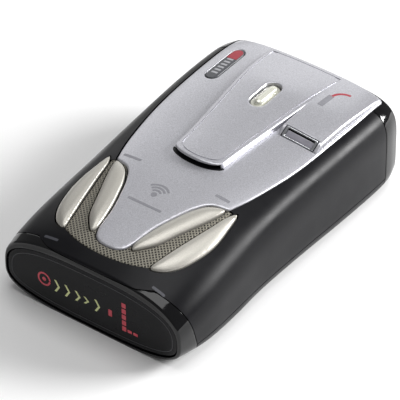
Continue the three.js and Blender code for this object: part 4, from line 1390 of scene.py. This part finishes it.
class RADAR_OT_rear_bezel(bpy.types.Operator):
    """The gloss black ring at the windscreen end and its red infra-red window"""

    bl_idname = "radar.rear_bezel"
    bl_label = "Rear bezel and lens"

    def execute(self, context):
        size, colour = sizes(context), colours(context)
        guide_low, guide_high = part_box("bracket_guide")
        slot_low = in_mm(guide_low.z) + 1 - FIT
        slot_high = in_mm(guide_high.z) - 1 + FIT
        bezel = to_object("windscreen_end_ring", whole_case(size["case_rim"], 132, 168))
        carve(bezel, [around(BELOW, SKY, y0=REAR - REAR_DEPTH)], "INTERSECT")
        seat = grow(cover_outline(), FIT)
        carve(
            bezel,
            [
                cavity(),
                plate([seat], deck_top, level(SKY), 3.0),
                standing(prism(rear_window(FIT), REAR - 1 - FIT, REAR + 2), FACING_SCREEN),
                standing(prism(rear_window(-1.5), REAR - 4, REAR + 2), FACING_SCREEN),
                box(-11.8, 11.8, REAR - 4, REAR + 2, slot_low, slot_high),
            ],
        )
        ease_edges(bezel, 0.14)
        finish_piece(bezel, piano_black_abs(colour["bezel"]), "rear_bezel")
        pane = plate(
            [divide(rear_window(0), 1.5)], level(REAR - 0.2), level(REAR - 1), 2.0, edge=0.3
        )
        add_piece(
            "windscreen_end_pane",
            standing(pane, FACING_SCREEN),
            deep_red_acrylic(linear("#2A1013")),
            "rear_lens",
        )
        return {"FINISHED"}


# ------------------------------------------------------------------- top cover


def ramp_block(width, length, z0, z1):
    return standing(box(-width / 2, width / 2, -length / 2, length / 2, z0, z1), RAMP)


class RADAR_OT_cover(bpy.types.Operator):
    """The silver top cover: its panel, hood and sensor housing"""

    bl_idname = "radar.cover"
    bl_label = "Top cover"

    def execute(self, context):
        size, colour = sizes(context), colours(context)
        cell, edge = size["surface_cell"], size["hood_edge"]
        silver = silver_lacquer(colour["cover"])
        pocket = lambda: ramp_block(RAMP_WIDTH + 2 * FIT, RAMP_LENGTH + FIT, -1.5, 4)
        badge = pill(BADGE_X, BADGE_Y, BADGE_LENGTH + 0.1, BADGE_WIDTH + 0.1)
        release = grow(RELEASE, SLIDE_FIT)

        panel = to_object(
            "cover_panel",
            plate(
                [cover_outline(), release, badge],
                panel_top,
                shifted(case_top, -COVER_WALL),
                cell,
                edge=size["cover_edge"],
            ),
        )
        carve(panel, [pocket()])
        finish_piece(panel, silver, "top_cover")

        hood = to_object(
            "cover_hood",
            plate(
                [hood_outline(), release], hood_top, shifted(cover_base, -0.6), cell, edge=edge
            ),
        )
        slot_x = hood_half(HOOD_FRONT) - 0.4
        slot_z = cover_base(0, HOOD_FRONT - HOOD_NOSE)
        slot_y = HOOD_FRONT - HOOD_NOSE - 2
        slot = box(-slot_x, slot_x, slot_y, HOOD_FRONT + 1.2, slot_z - 0.1, slot_z + 1.5)
        groove = plate(
            [hood_outline(1.3), hood_outline(1.6)],
            shifted(hood_top, 0.5),
            shifted(hood_top, -0.22),
            2.0,
        )
        carve(hood, [slot, groove])
        finish_piece(hood, silver, "top_cover")

        nose = [p for p in hood_outline(0.9) if p[1] < HOOD_FRONT + 2]
        add_piece(
            "nose_slot_lining",
            prism(nose, slot_z - 0.3, slot_z + 1.7),
            satin_black_abs(colour["case"]),
        )

        nose = [p for p in hood_outline(-0.6) if p[1] < HOOD_FRONT - 0.2]
        add_piece(
            "nose_slot_shadow",
            plate(
                [nose],
                shifted(panel_top, 0.04),
                shifted(panel_top, -0.5),
                0.8,
                edge=0.03,
                steps=1,
            ),
            satin_black_abs(colour["case"]),
        )

        corners = [
            (BLOCK_INNER, BLOCK_FRONT - 0.2),
            (BLOCK_OUTER, BLOCK_FRONT - 0.2),
            (0.806 * HALF, REAR - 14),
            (0.8 * HALF, HOOD_REAR),
            (BLOCK_INNER, HOOD_REAR),
        ]
        housing = to_object(
            "sensor_housing",
            plate(
                [divide(round_corners(corners, 0.7, 4), 1.0)],
                lambda x, y: min(block_top(x, y), ramp_height(x, y)),
                shifted(cover_base, -0.8),
                0.6,
                edge=edge,
            ),
        )
        carve(housing, [pocket()])
        finish_piece(housing, silver, "top_cover")
        return {"FINISHED"}


class RADAR_OT_sensor(bpy.types.Operator):
    """The bright frame and grey-violet window of the ramp sensor"""

    bl_idname = "radar.sensor"
    bl_label = "Ramp sensor"

    def execute(self, context):
        colour = colours(context)
        outer_w, outer_l = RAMP_WIDTH, RAMP_LENGTH - FIT
        inner_w, inner_l = RAMP_WIDTH - 1.8, RAMP_LENGTH - 1.2
        ring = plate(
            [
                anticlockwise(divide(rounded_bar(0, 0, outer_w, outer_l, 0.4), 0.7)),
                anticlockwise(divide(rounded_bar(0, 0, inner_w, inner_l, 0.25), 0.7)),
            ],
            level(0.1),
            level(-1.2),
            1.0,
            edge=0.2,
            steps=3,
        )
        add_piece(
            "ramp_frame",
            standing(ring, RAMP),
            chromed_abs(linear("#DADCE0")),
            "sensor_frame",
        )
        top = inner_l / 2
        shade = box(0.1 - inner_w / 2, inner_w / 2 - 0.1, top - 0.6, top - 0.15, -0.6, -0.12)
        add_piece(
            "ramp_shade",
            standing(shade, RAMP),
            piano_black_abs(colour["bezel"]),
        )
        pane = plate(
            [divide(rounded_bar(0, 0, inner_w - 0.2, inner_l - 0.2, 0.25), 0.7)],
            level(-0.2),
            level(-1.2),
            1.0,
            edge=0.1,
            steps=2,
        )
        add_piece(
            "ramp_pane",
            standing(pane, RAMP),
            violet_glass(colour["sensor"]),
            "sensor_window",
        )
        return {"FINISHED"}


def on_case(u, v, lift):
    return Vector((u, v, case_top(u, v) + lift))


def on_panel(u, v, lift):
    return Vector((u, v, panel_top(u, v) + lift))


def on_housing(u, v, lift):
    return Vector((u, v, block_top(u, v) + lift))


class RADAR_OT_marks(bpy.types.Operator):
    """The badge and the plain printed marks on the cover and the case"""

    bl_idname = "radar.marks"
    bl_label = "Badge and marks"

    def execute(self, context):
        colour = colours(context)
        charcoal = ink_and_highlight_paint("charcoal_inlay", colour["badge"], 0.3)
        red = ink_and_highlight_paint("red_ink", colour["red"])
        grey = ink_and_highlight_paint("grey_ink", linear("#85858B"))
        pale = ink_and_highlight_paint("pale_ink", linear("#A9A9AE"))
        dull = ink_and_highlight_paint("dull_ink", linear("#45464D"))

        add_piece(
            "badge_inlay",
            plate(
                [pill(BADGE_X, BADGE_Y, BADGE_LENGTH, BADGE_WIDTH)],
                shifted(cover_base, 0.05),
                shifted(cover_base, -0.6),
                1.0,
                edge=0.3,
                steps=3,
            ),
            charcoal,
            "badge_plate",
        )

        def on_badge(u, v, lift):
            return Vector((u, v, cover_base(u, v) + 0.07 + lift))

        rear_half = [p for p in pill(BADGE_X, BADGE_Y, 16.4, 3.6) if p[1] > BADGE_Y + 3.2]
        rear_part = [(BADGE_X + 1.8, BADGE_Y + 3.2), *rear_half, (BADGE_X - 1.8, BADGE_Y + 3.2)]
        marks = [("badge_red_end", anticlockwise(rear_part), on_badge, red)]
        for i in range(6):
            bar = rounded_bar(BADGE_X, BADGE_Y - 5.4 + 1.6 * i, 2.2, 0.8, 0.15)
            marks.append((f"badge_bar_{i + 1}", bar, on_badge, pale))
        marks += [
            ("housing_grey_mark", rounded_bar(15.8, 39.5, 2.0, 6.4, 0.5), on_housing, grey),
            ("housing_red_arc", arc_band(20.4, 42.2, 4.4, 0.9, 95, 182), on_housing, red),
            ("mute_mark", rounded_bar(-16.6, -13.2, 6.4, 1.0, 0.4), on_panel, grey),
            ("dim_mark", rounded_bar(16.4, -13.2, 5.0, 1.0, 0.4), on_panel, grey),
            ("menu_mark", rounded_bar(-16.5, -51.6, 5.0, 0.8, 0.35), on_case, dull),
            ("city_mark", rounded_bar(22.0, -51.2, 4.4, 0.8, 0.35), on_case, dull),
            ("signal_dot", arc_band(-1, -23.2, 0.5, 0.95, 0, 355), on_panel, grey),
            ("signal_line", rounded_bar(-0.8, -28, 12, 0.9, 0.4), on_panel, grey),
        ]
        for i, radius in enumerate((1.9, 3.1, 4.3), 1):
            arc = arc_band(-1, -23.2, radius, 0.7, 40, 140)
            marks.append((f"signal_arc_{i}", arc, on_panel, grey))
        for name, outline, place, material in marks:
            add_piece(name, inlay([anticlockwise(outline)], place), material)
        return {"FINISHED"}


# ---------------------------------------------------------- keys, grille, release


def distance_to(outline, x, y):
    """How far a plan point is from the nearest side of an outline."""
    best = 1e9
    for (ax, ay), (bx, by) in zip(outline, outline[1:] + outline[:1]):
        dx, dy = bx - ax, by - ay
        t = min(max(((x - ax) * dx + (y - ay) * dy) / (dx * dx + dy * dy + 1e-12), 0), 1)
        best = min(best, math.hypot(x - ax - dx * t, y - ay - dy * t))
    return best


class RADAR_OT_keys(bpy.types.Operator):
    """The four blade-shaped keys"""

    bl_idname = "radar.keys"
    bl_label = "Keys"

    def execute(self, context):
        size, colour = sizes(context), colours(context)
        pearl = pearl_lacquer(colour["key"])
        rise = size["key_rise"]
        for name, outline, body in key_shapes():

            def crown(x, y, outline=outline):
                share = min(distance_to(outline, x, y) / CROWN_REACH, 1)
                return case_top(x, y) - 0.1 + rise * (1 - (1 - share) ** 2) ** 0.5

            pad = plate(
                [outline], crown, shifted(case_top, -KEY_DEPTH), 0.35, edge=0.12, steps=3
            )
            add_piece(
                name.replace("button", "key_cap"),
                relax_crown(pad, 14),
                pearl,
                name,
                body=body,
            )
        return {"FINISHED"}


class RADAR_OT_grille(bpy.types.Operator):
    """The band of wire cloth over the speaker"""

    bl_idname = "radar.grille"
    bl_label = "Speaker cloth"

    def execute(self, context):
        colour = colours(context)
        cloth = to_object(
            "speaker_wire_cloth",
            plate(
                [cloth_outline()],
                shifted(case_top, -0.25),
                shifted(case_top, -COVER_WALL),
                1.0,
                edge=0.2,
                steps=2,
            ),
        )
        cutters = [prism(grow(cover_outline(), FIT), 5, SKY)]
        cutters += [prism(grow(o, KEY_GAP), 5, SKY) for _, o, _ in key_shapes()]
        carve(cloth, cutters)
        finish_piece(cloth, woven_wire(colour["cloth"]), "speaker_grille")
        return {"FINISHED"}


class RADAR_OT_release(bpy.types.Operator):
    """The cream oval button that frees the windscreen bracket"""

    bl_idname = "radar.release"
    bl_label = "Release button"

    def execute(self, context):
        colour = colours(context)
        low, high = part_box("release_button")
        edge_height = in_mm(high.z) - 0.9

        top = grow(RELEASE, -0.95)

        def crown(x, y):
            share = min(distance_to(top, x, y) / 1.4, 1)
            return edge_height + 0.9 * (1 - (1 - share) ** 2) ** 0.5

        flange = plate(
            [RELEASE], level(edge_height - 0.5), level(edge_height - 3.5), 2.0, edge=0.12
        )
        button = to_object("release_cap", flange)
        cap = plate([top], crown, level(edge_height - 2), 0.4, edge=0.12, steps=3)
        carve(
            button,
            [
                relax_crown(cap, 4),
                box(-1.9, 1.9, RELEASE_Y - 2.8, RELEASE_Y + 1.6, in_mm(low.z), edge_height - 2),
            ],
            "UNION",
        )
        finish_piece(
            button,
            cream_lacquer(colour["release"]),
            "release_button",
            body="bracket_release",
        )

        # The return spring: a copy of its mesh in spring steel, fixed to the case.
        coil = bpy.data.objects.new(
            "release_coil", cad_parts["release_spring"].data.copy()
        )
        context.scene.collection.objects.link(coil)
        coil.data.materials.clear()
        coil.data.materials.append(spring_steel())
        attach(coil, "case")
        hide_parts("release_spring")
        low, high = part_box("release_spring")
        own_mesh(coil)
        return {"FINISHED"}


# ---------------------------------------------------------------- small hardware


class RADAR_OT_thumbwheel(bpy.types.Operator):
    """The knurled volume wheel in the left side"""

    bl_idname = "radar.thumbwheel"
    bl_label = "Thumbwheel"

    def execute(self, context):
        place = wheel_place()
        rim = []
        teeth = 28
        for i in range(teeth * 8):
            wave = 0.5 + 0.5 * math.cos(2 * math.pi * i / 8)
            r = WHEEL_RADIUS - 0.3 * (1 - wave**0.6)
            angle = 2 * math.pi * i / (teeth * 8)
            rim.append((r * math.cos(angle), r * math.sin(angle)))
        bm = prism(rim, -WHEEL_HALF, WHEEL_HALF)
        wheel = to_object("volume_thumbwheel", bm)
        carve(wheel, [rod(2.35, (0, 0, -5), (0, 0, 5), 40)])
        ease_edges(wheel, 0.18, 60)
        wheel.data.transform(Matrix.Translation(place))
        finish_piece(
            wheel,
            glass_filled_nylon(),
            "volume_wheel",
            body="thumbwheel",
            sharp=30,
        )
        return {"FINISHED"}


class RADAR_OT_jack(bpy.types.Operator):
    """The power inlet in the left side, with its centre pin"""

    bl_idname = "radar.jack"
    bl_label = "Power inlet"

    def execute(self, context):
        low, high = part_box("power_jack")
        y, mouth = in_mm(low.y + high.y) / 2, in_mm(low.x)
        into = Matrix.Translation((mouth, y, JACK_HEIGHT)) @ Matrix.Rotation(
            math.radians(90), 4, "Y"
        )
        barrel = turned(
            [(0, 9.2), (3.15, 9.2), (3.15, 0.35), (3.4, 0), (3.95, 0), (4.2, 0.25)]
            + [(4.2, 6), (4.2, 12), (0, 12)]
        )
        add_piece(
            "power_inlet",
            standing(barrel, into),
            glass_filled_nylon(),
            "power_jack",
            sharp=30,
        )
        pin = turned([(0, 9.6), (1, 9.6), (1, 1.6), (0.75, 1.25), (0, 1.2)], 40)
        add_piece(
            "power_inlet_pin", standing(pin, into), spring_steel(), sharp=30
        )
        return {"FINISHED"}


class RADAR_OT_screws(bpy.types.Operator):
    """The four pan-head screws in the base"""

    bl_idname = "radar.screws"
    bl_label = "Base screws"

    def execute(self, context):
        zinc = zinc_plated_steel()
        low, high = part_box("case_screw_1")
        bottom = in_mm(low.z)
        length = in_mm(high.z) - bottom
        for i, (x, y) in enumerate(screw_places(), 1):
            body = turned(
                [(0, 0), (1.5, 0.03), (2.1, 0.16), (2.4, 0.4), (2.5, 0.75), (2.5, 1.2)]
                + [(1.3, 1.2), (1.3, length - 0.6), (0.9, length), (0, length)],
                40,
            )
            screw = to_object(f"base_screw_{i}", body)
            carve(
                screw, [box(-1.8, 1.8, -0.3, 0.3, -1, 0.6), box(-0.3, 0.3, -1.8, 1.8, -1, 0.6)]
            )
            screw.data.transform(Matrix.Translation((x, y, bottom)))
            finish_piece(screw, zinc, f"case_screw_{i}", sharp=30)
        return {"FINISHED"}


class RADAR_OT_inside(bpy.types.Operator):
    """Finishes for the parts inside the case"""

    bl_idname = "radar.inside"
    bl_label = "Inner parts"

    def execute(self, context):
        colour = colours(context)
        smoked = smoked_polycarbonate(colour["window"])
        nylon, board, tin = glass_filled_nylon(), solder_masked_board(), tinplate()
        finishes = {
            "hood_lens": smoked,
            "bracket_latch": nylon,
            "bracket_guide": nylon,
            "volume_control": tin,
            "main_circuit_board": board,
            "key_circuit_board": board,
            "menu_switch": nylon,
            "mute_switch": nylon,
            "dim_switch": nylon,
            "city_switch": nylon,
            "display_module": smoked,
            "display_board": board,
            "speaker_frame": tin,
            "speaker_cone": pulp_cone(),
            "horn_antenna": cast_zinc(),
            "mixer_shield": tin,
            "processor_chip": nylon,
            "front_laser_sensor": nylon,
            "front_laser_lens": deep_red_acrylic(linear("#5A1A20")),
            "rear_laser_sensor": nylon,
        }
        for name, material in finishes.items():
            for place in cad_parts[name].material_slots:
                place.material = material
        return {"FINISHED"}


# ------------------------------------------------------------------------ stage

CAMERA_AZIMUTH = math.radians(37.17)
CAMERA_ELEVATION = math.radians(38.61)
CAMERA_ROLL = math.radians(-0.52)
CAMERA_DISTANCE = 0.935
CAMERA_LENS = 283.3
SENSOR_WIDTH = 36
AIM_HEIGHT = 0.015
AIM_RIGHT = -0.00147
AIM_UP = -0.00218
WORLD_STRENGTH = 0.22


def soft_box(name, place, aim, width, height, power):
    """A rectangular studio light aimed at a point."""
    data = bpy.data.lights.new(name, "AREA")
    data.shape = "RECTANGLE"
    data.size, data.size_y = width, height
    data.energy = power
    lamp = bpy.data.objects.new(name, data)
    lamp.location = place
    lamp.rotation_mode = "QUATERNION"
    lamp.rotation_quaternion = (Vector(aim) - Vector(place)).to_track_quat("-Z", "Y")
    bpy.context.scene.collection.objects.link(lamp)
    return lamp


class RADAR_OT_stage(bpy.types.Operator):
    """A pale floor, soft studio lights and the camera"""

    bl_idname = "radar.stage"
    bl_label = "Stage"

    def execute(self, context):
        scene = context.scene
        bm = bmesh.new()
        bmesh.ops.create_grid(bm, x_segments=8, y_segments=8, size=3)
        floor = to_object("floor", bm)
        material, tree, shader = new_material("floor_paper", colours(context)["floor"], 0.9)
        floor.data.materials.append(material)

        world = bpy.data.worlds.new("studio")
        world.use_nodes = True
        light = world.node_tree.nodes["Background"]
        light.inputs["Color"].default_value = (1, 1, 1, 1)
        light.inputs["Strength"].default_value = WORLD_STRENGTH
        scene.world = world
        scene.view_settings.view_transform = "Standard"

        middle = Vector((0, 0, AIM_HEIGHT))
        soft_box("light_rear_left", (-0.75, 0.85, 0.5), middle, 1.1, 0.6, 2.0)
        soft_box("light_rear_right", (0.6, 0.62, 0.42), middle, 0.45, 0.3, 14.0)
        soft_box("light_above", (0.0, 0.1, 1.3), middle, 0.9, 0.9, 7.0)

        a, e, r = CAMERA_AZIMUTH, CAMERA_ELEVATION, CAMERA_ROLL
        right = Vector((math.cos(a), math.sin(a), 0))
        back = Vector((math.sin(a) * math.cos(e), -math.cos(a) * math.cos(e), math.sin(e)))
        up = back.cross(right)
        aim = middle + right * AIM_RIGHT + up * AIM_UP
        across = right * math.cos(r) + up * math.sin(r)
        above = up * math.cos(r) - right * math.sin(r)
        data = bpy.data.cameras.new("camera")
        data.sensor_width = SENSOR_WIDTH
        data.lens = CAMERA_LENS
        camera = bpy.data.objects.new("camera", data)
        turn = Matrix((across, above, back)).transposed().to_4x4()
        camera.matrix_world = Matrix.Translation(aim + back * CAMERA_DISTANCE) @ turn
        scene.collection.objects.link(camera)
        scene.camera = camera
        return {"FINISHED"}


STEPS = (
    RADAR_OT_case,
    RADAR_OT_front_bezel,
    RADAR_OT_display,
    RADAR_OT_rear_bezel,
    RADAR_OT_cover,
    RADAR_OT_sensor,
    RADAR_OT_marks,
    RADAR_OT_keys,
    RADAR_OT_grille,
    RADAR_OT_release,
    RADAR_OT_thumbwheel,
    RADAR_OT_jack,
    RADAR_OT_screws,
    RADAR_OT_inside,
    RADAR_OT_stage,
)


class RADAR_PT_panel(bpy.types.Panel):
    """The steps that build the radar detector"""

    bl_label = "Radar Detector"
    bl_idname = "RADAR_PT_panel"
    bl_space_type = "VIEW_3D"
    bl_region_type = "UI"
    bl_category = "Radar Detector"

    def draw(self, context):
        for group in (context.scene.radar_sizes, context.scene.radar_colours):
            column = self.layout.column()
            for key in type(group).__annotations__:
                column.prop(group, key)
        for step in STEPS:
            self.layout.operator(step.bl_idname)


CLASSES = (RadarSizes, RadarColours, *STEPS, RADAR_PT_panel)


def register():
    for item in CLASSES:
        bpy.utils.register_class(item)
    bpy.types.Scene.radar_sizes = bpy.props.PointerProperty(type=RadarSizes)
    bpy.types.Scene.radar_colours = bpy.props.PointerProperty(type=RadarColours)


def unregister():
    del bpy.types.Scene.radar_colours
    del bpy.types.Scene.radar_sizes
    for item in reversed(CLASSES):
        bpy.utils.unregister_class(item)


def main():
    register()
    for step in STEPS:
        group, name = step.bl_idname.split(".")
        getattr(getattr(bpy.ops, group), name)()


if __name__ == "__main__":
    main()
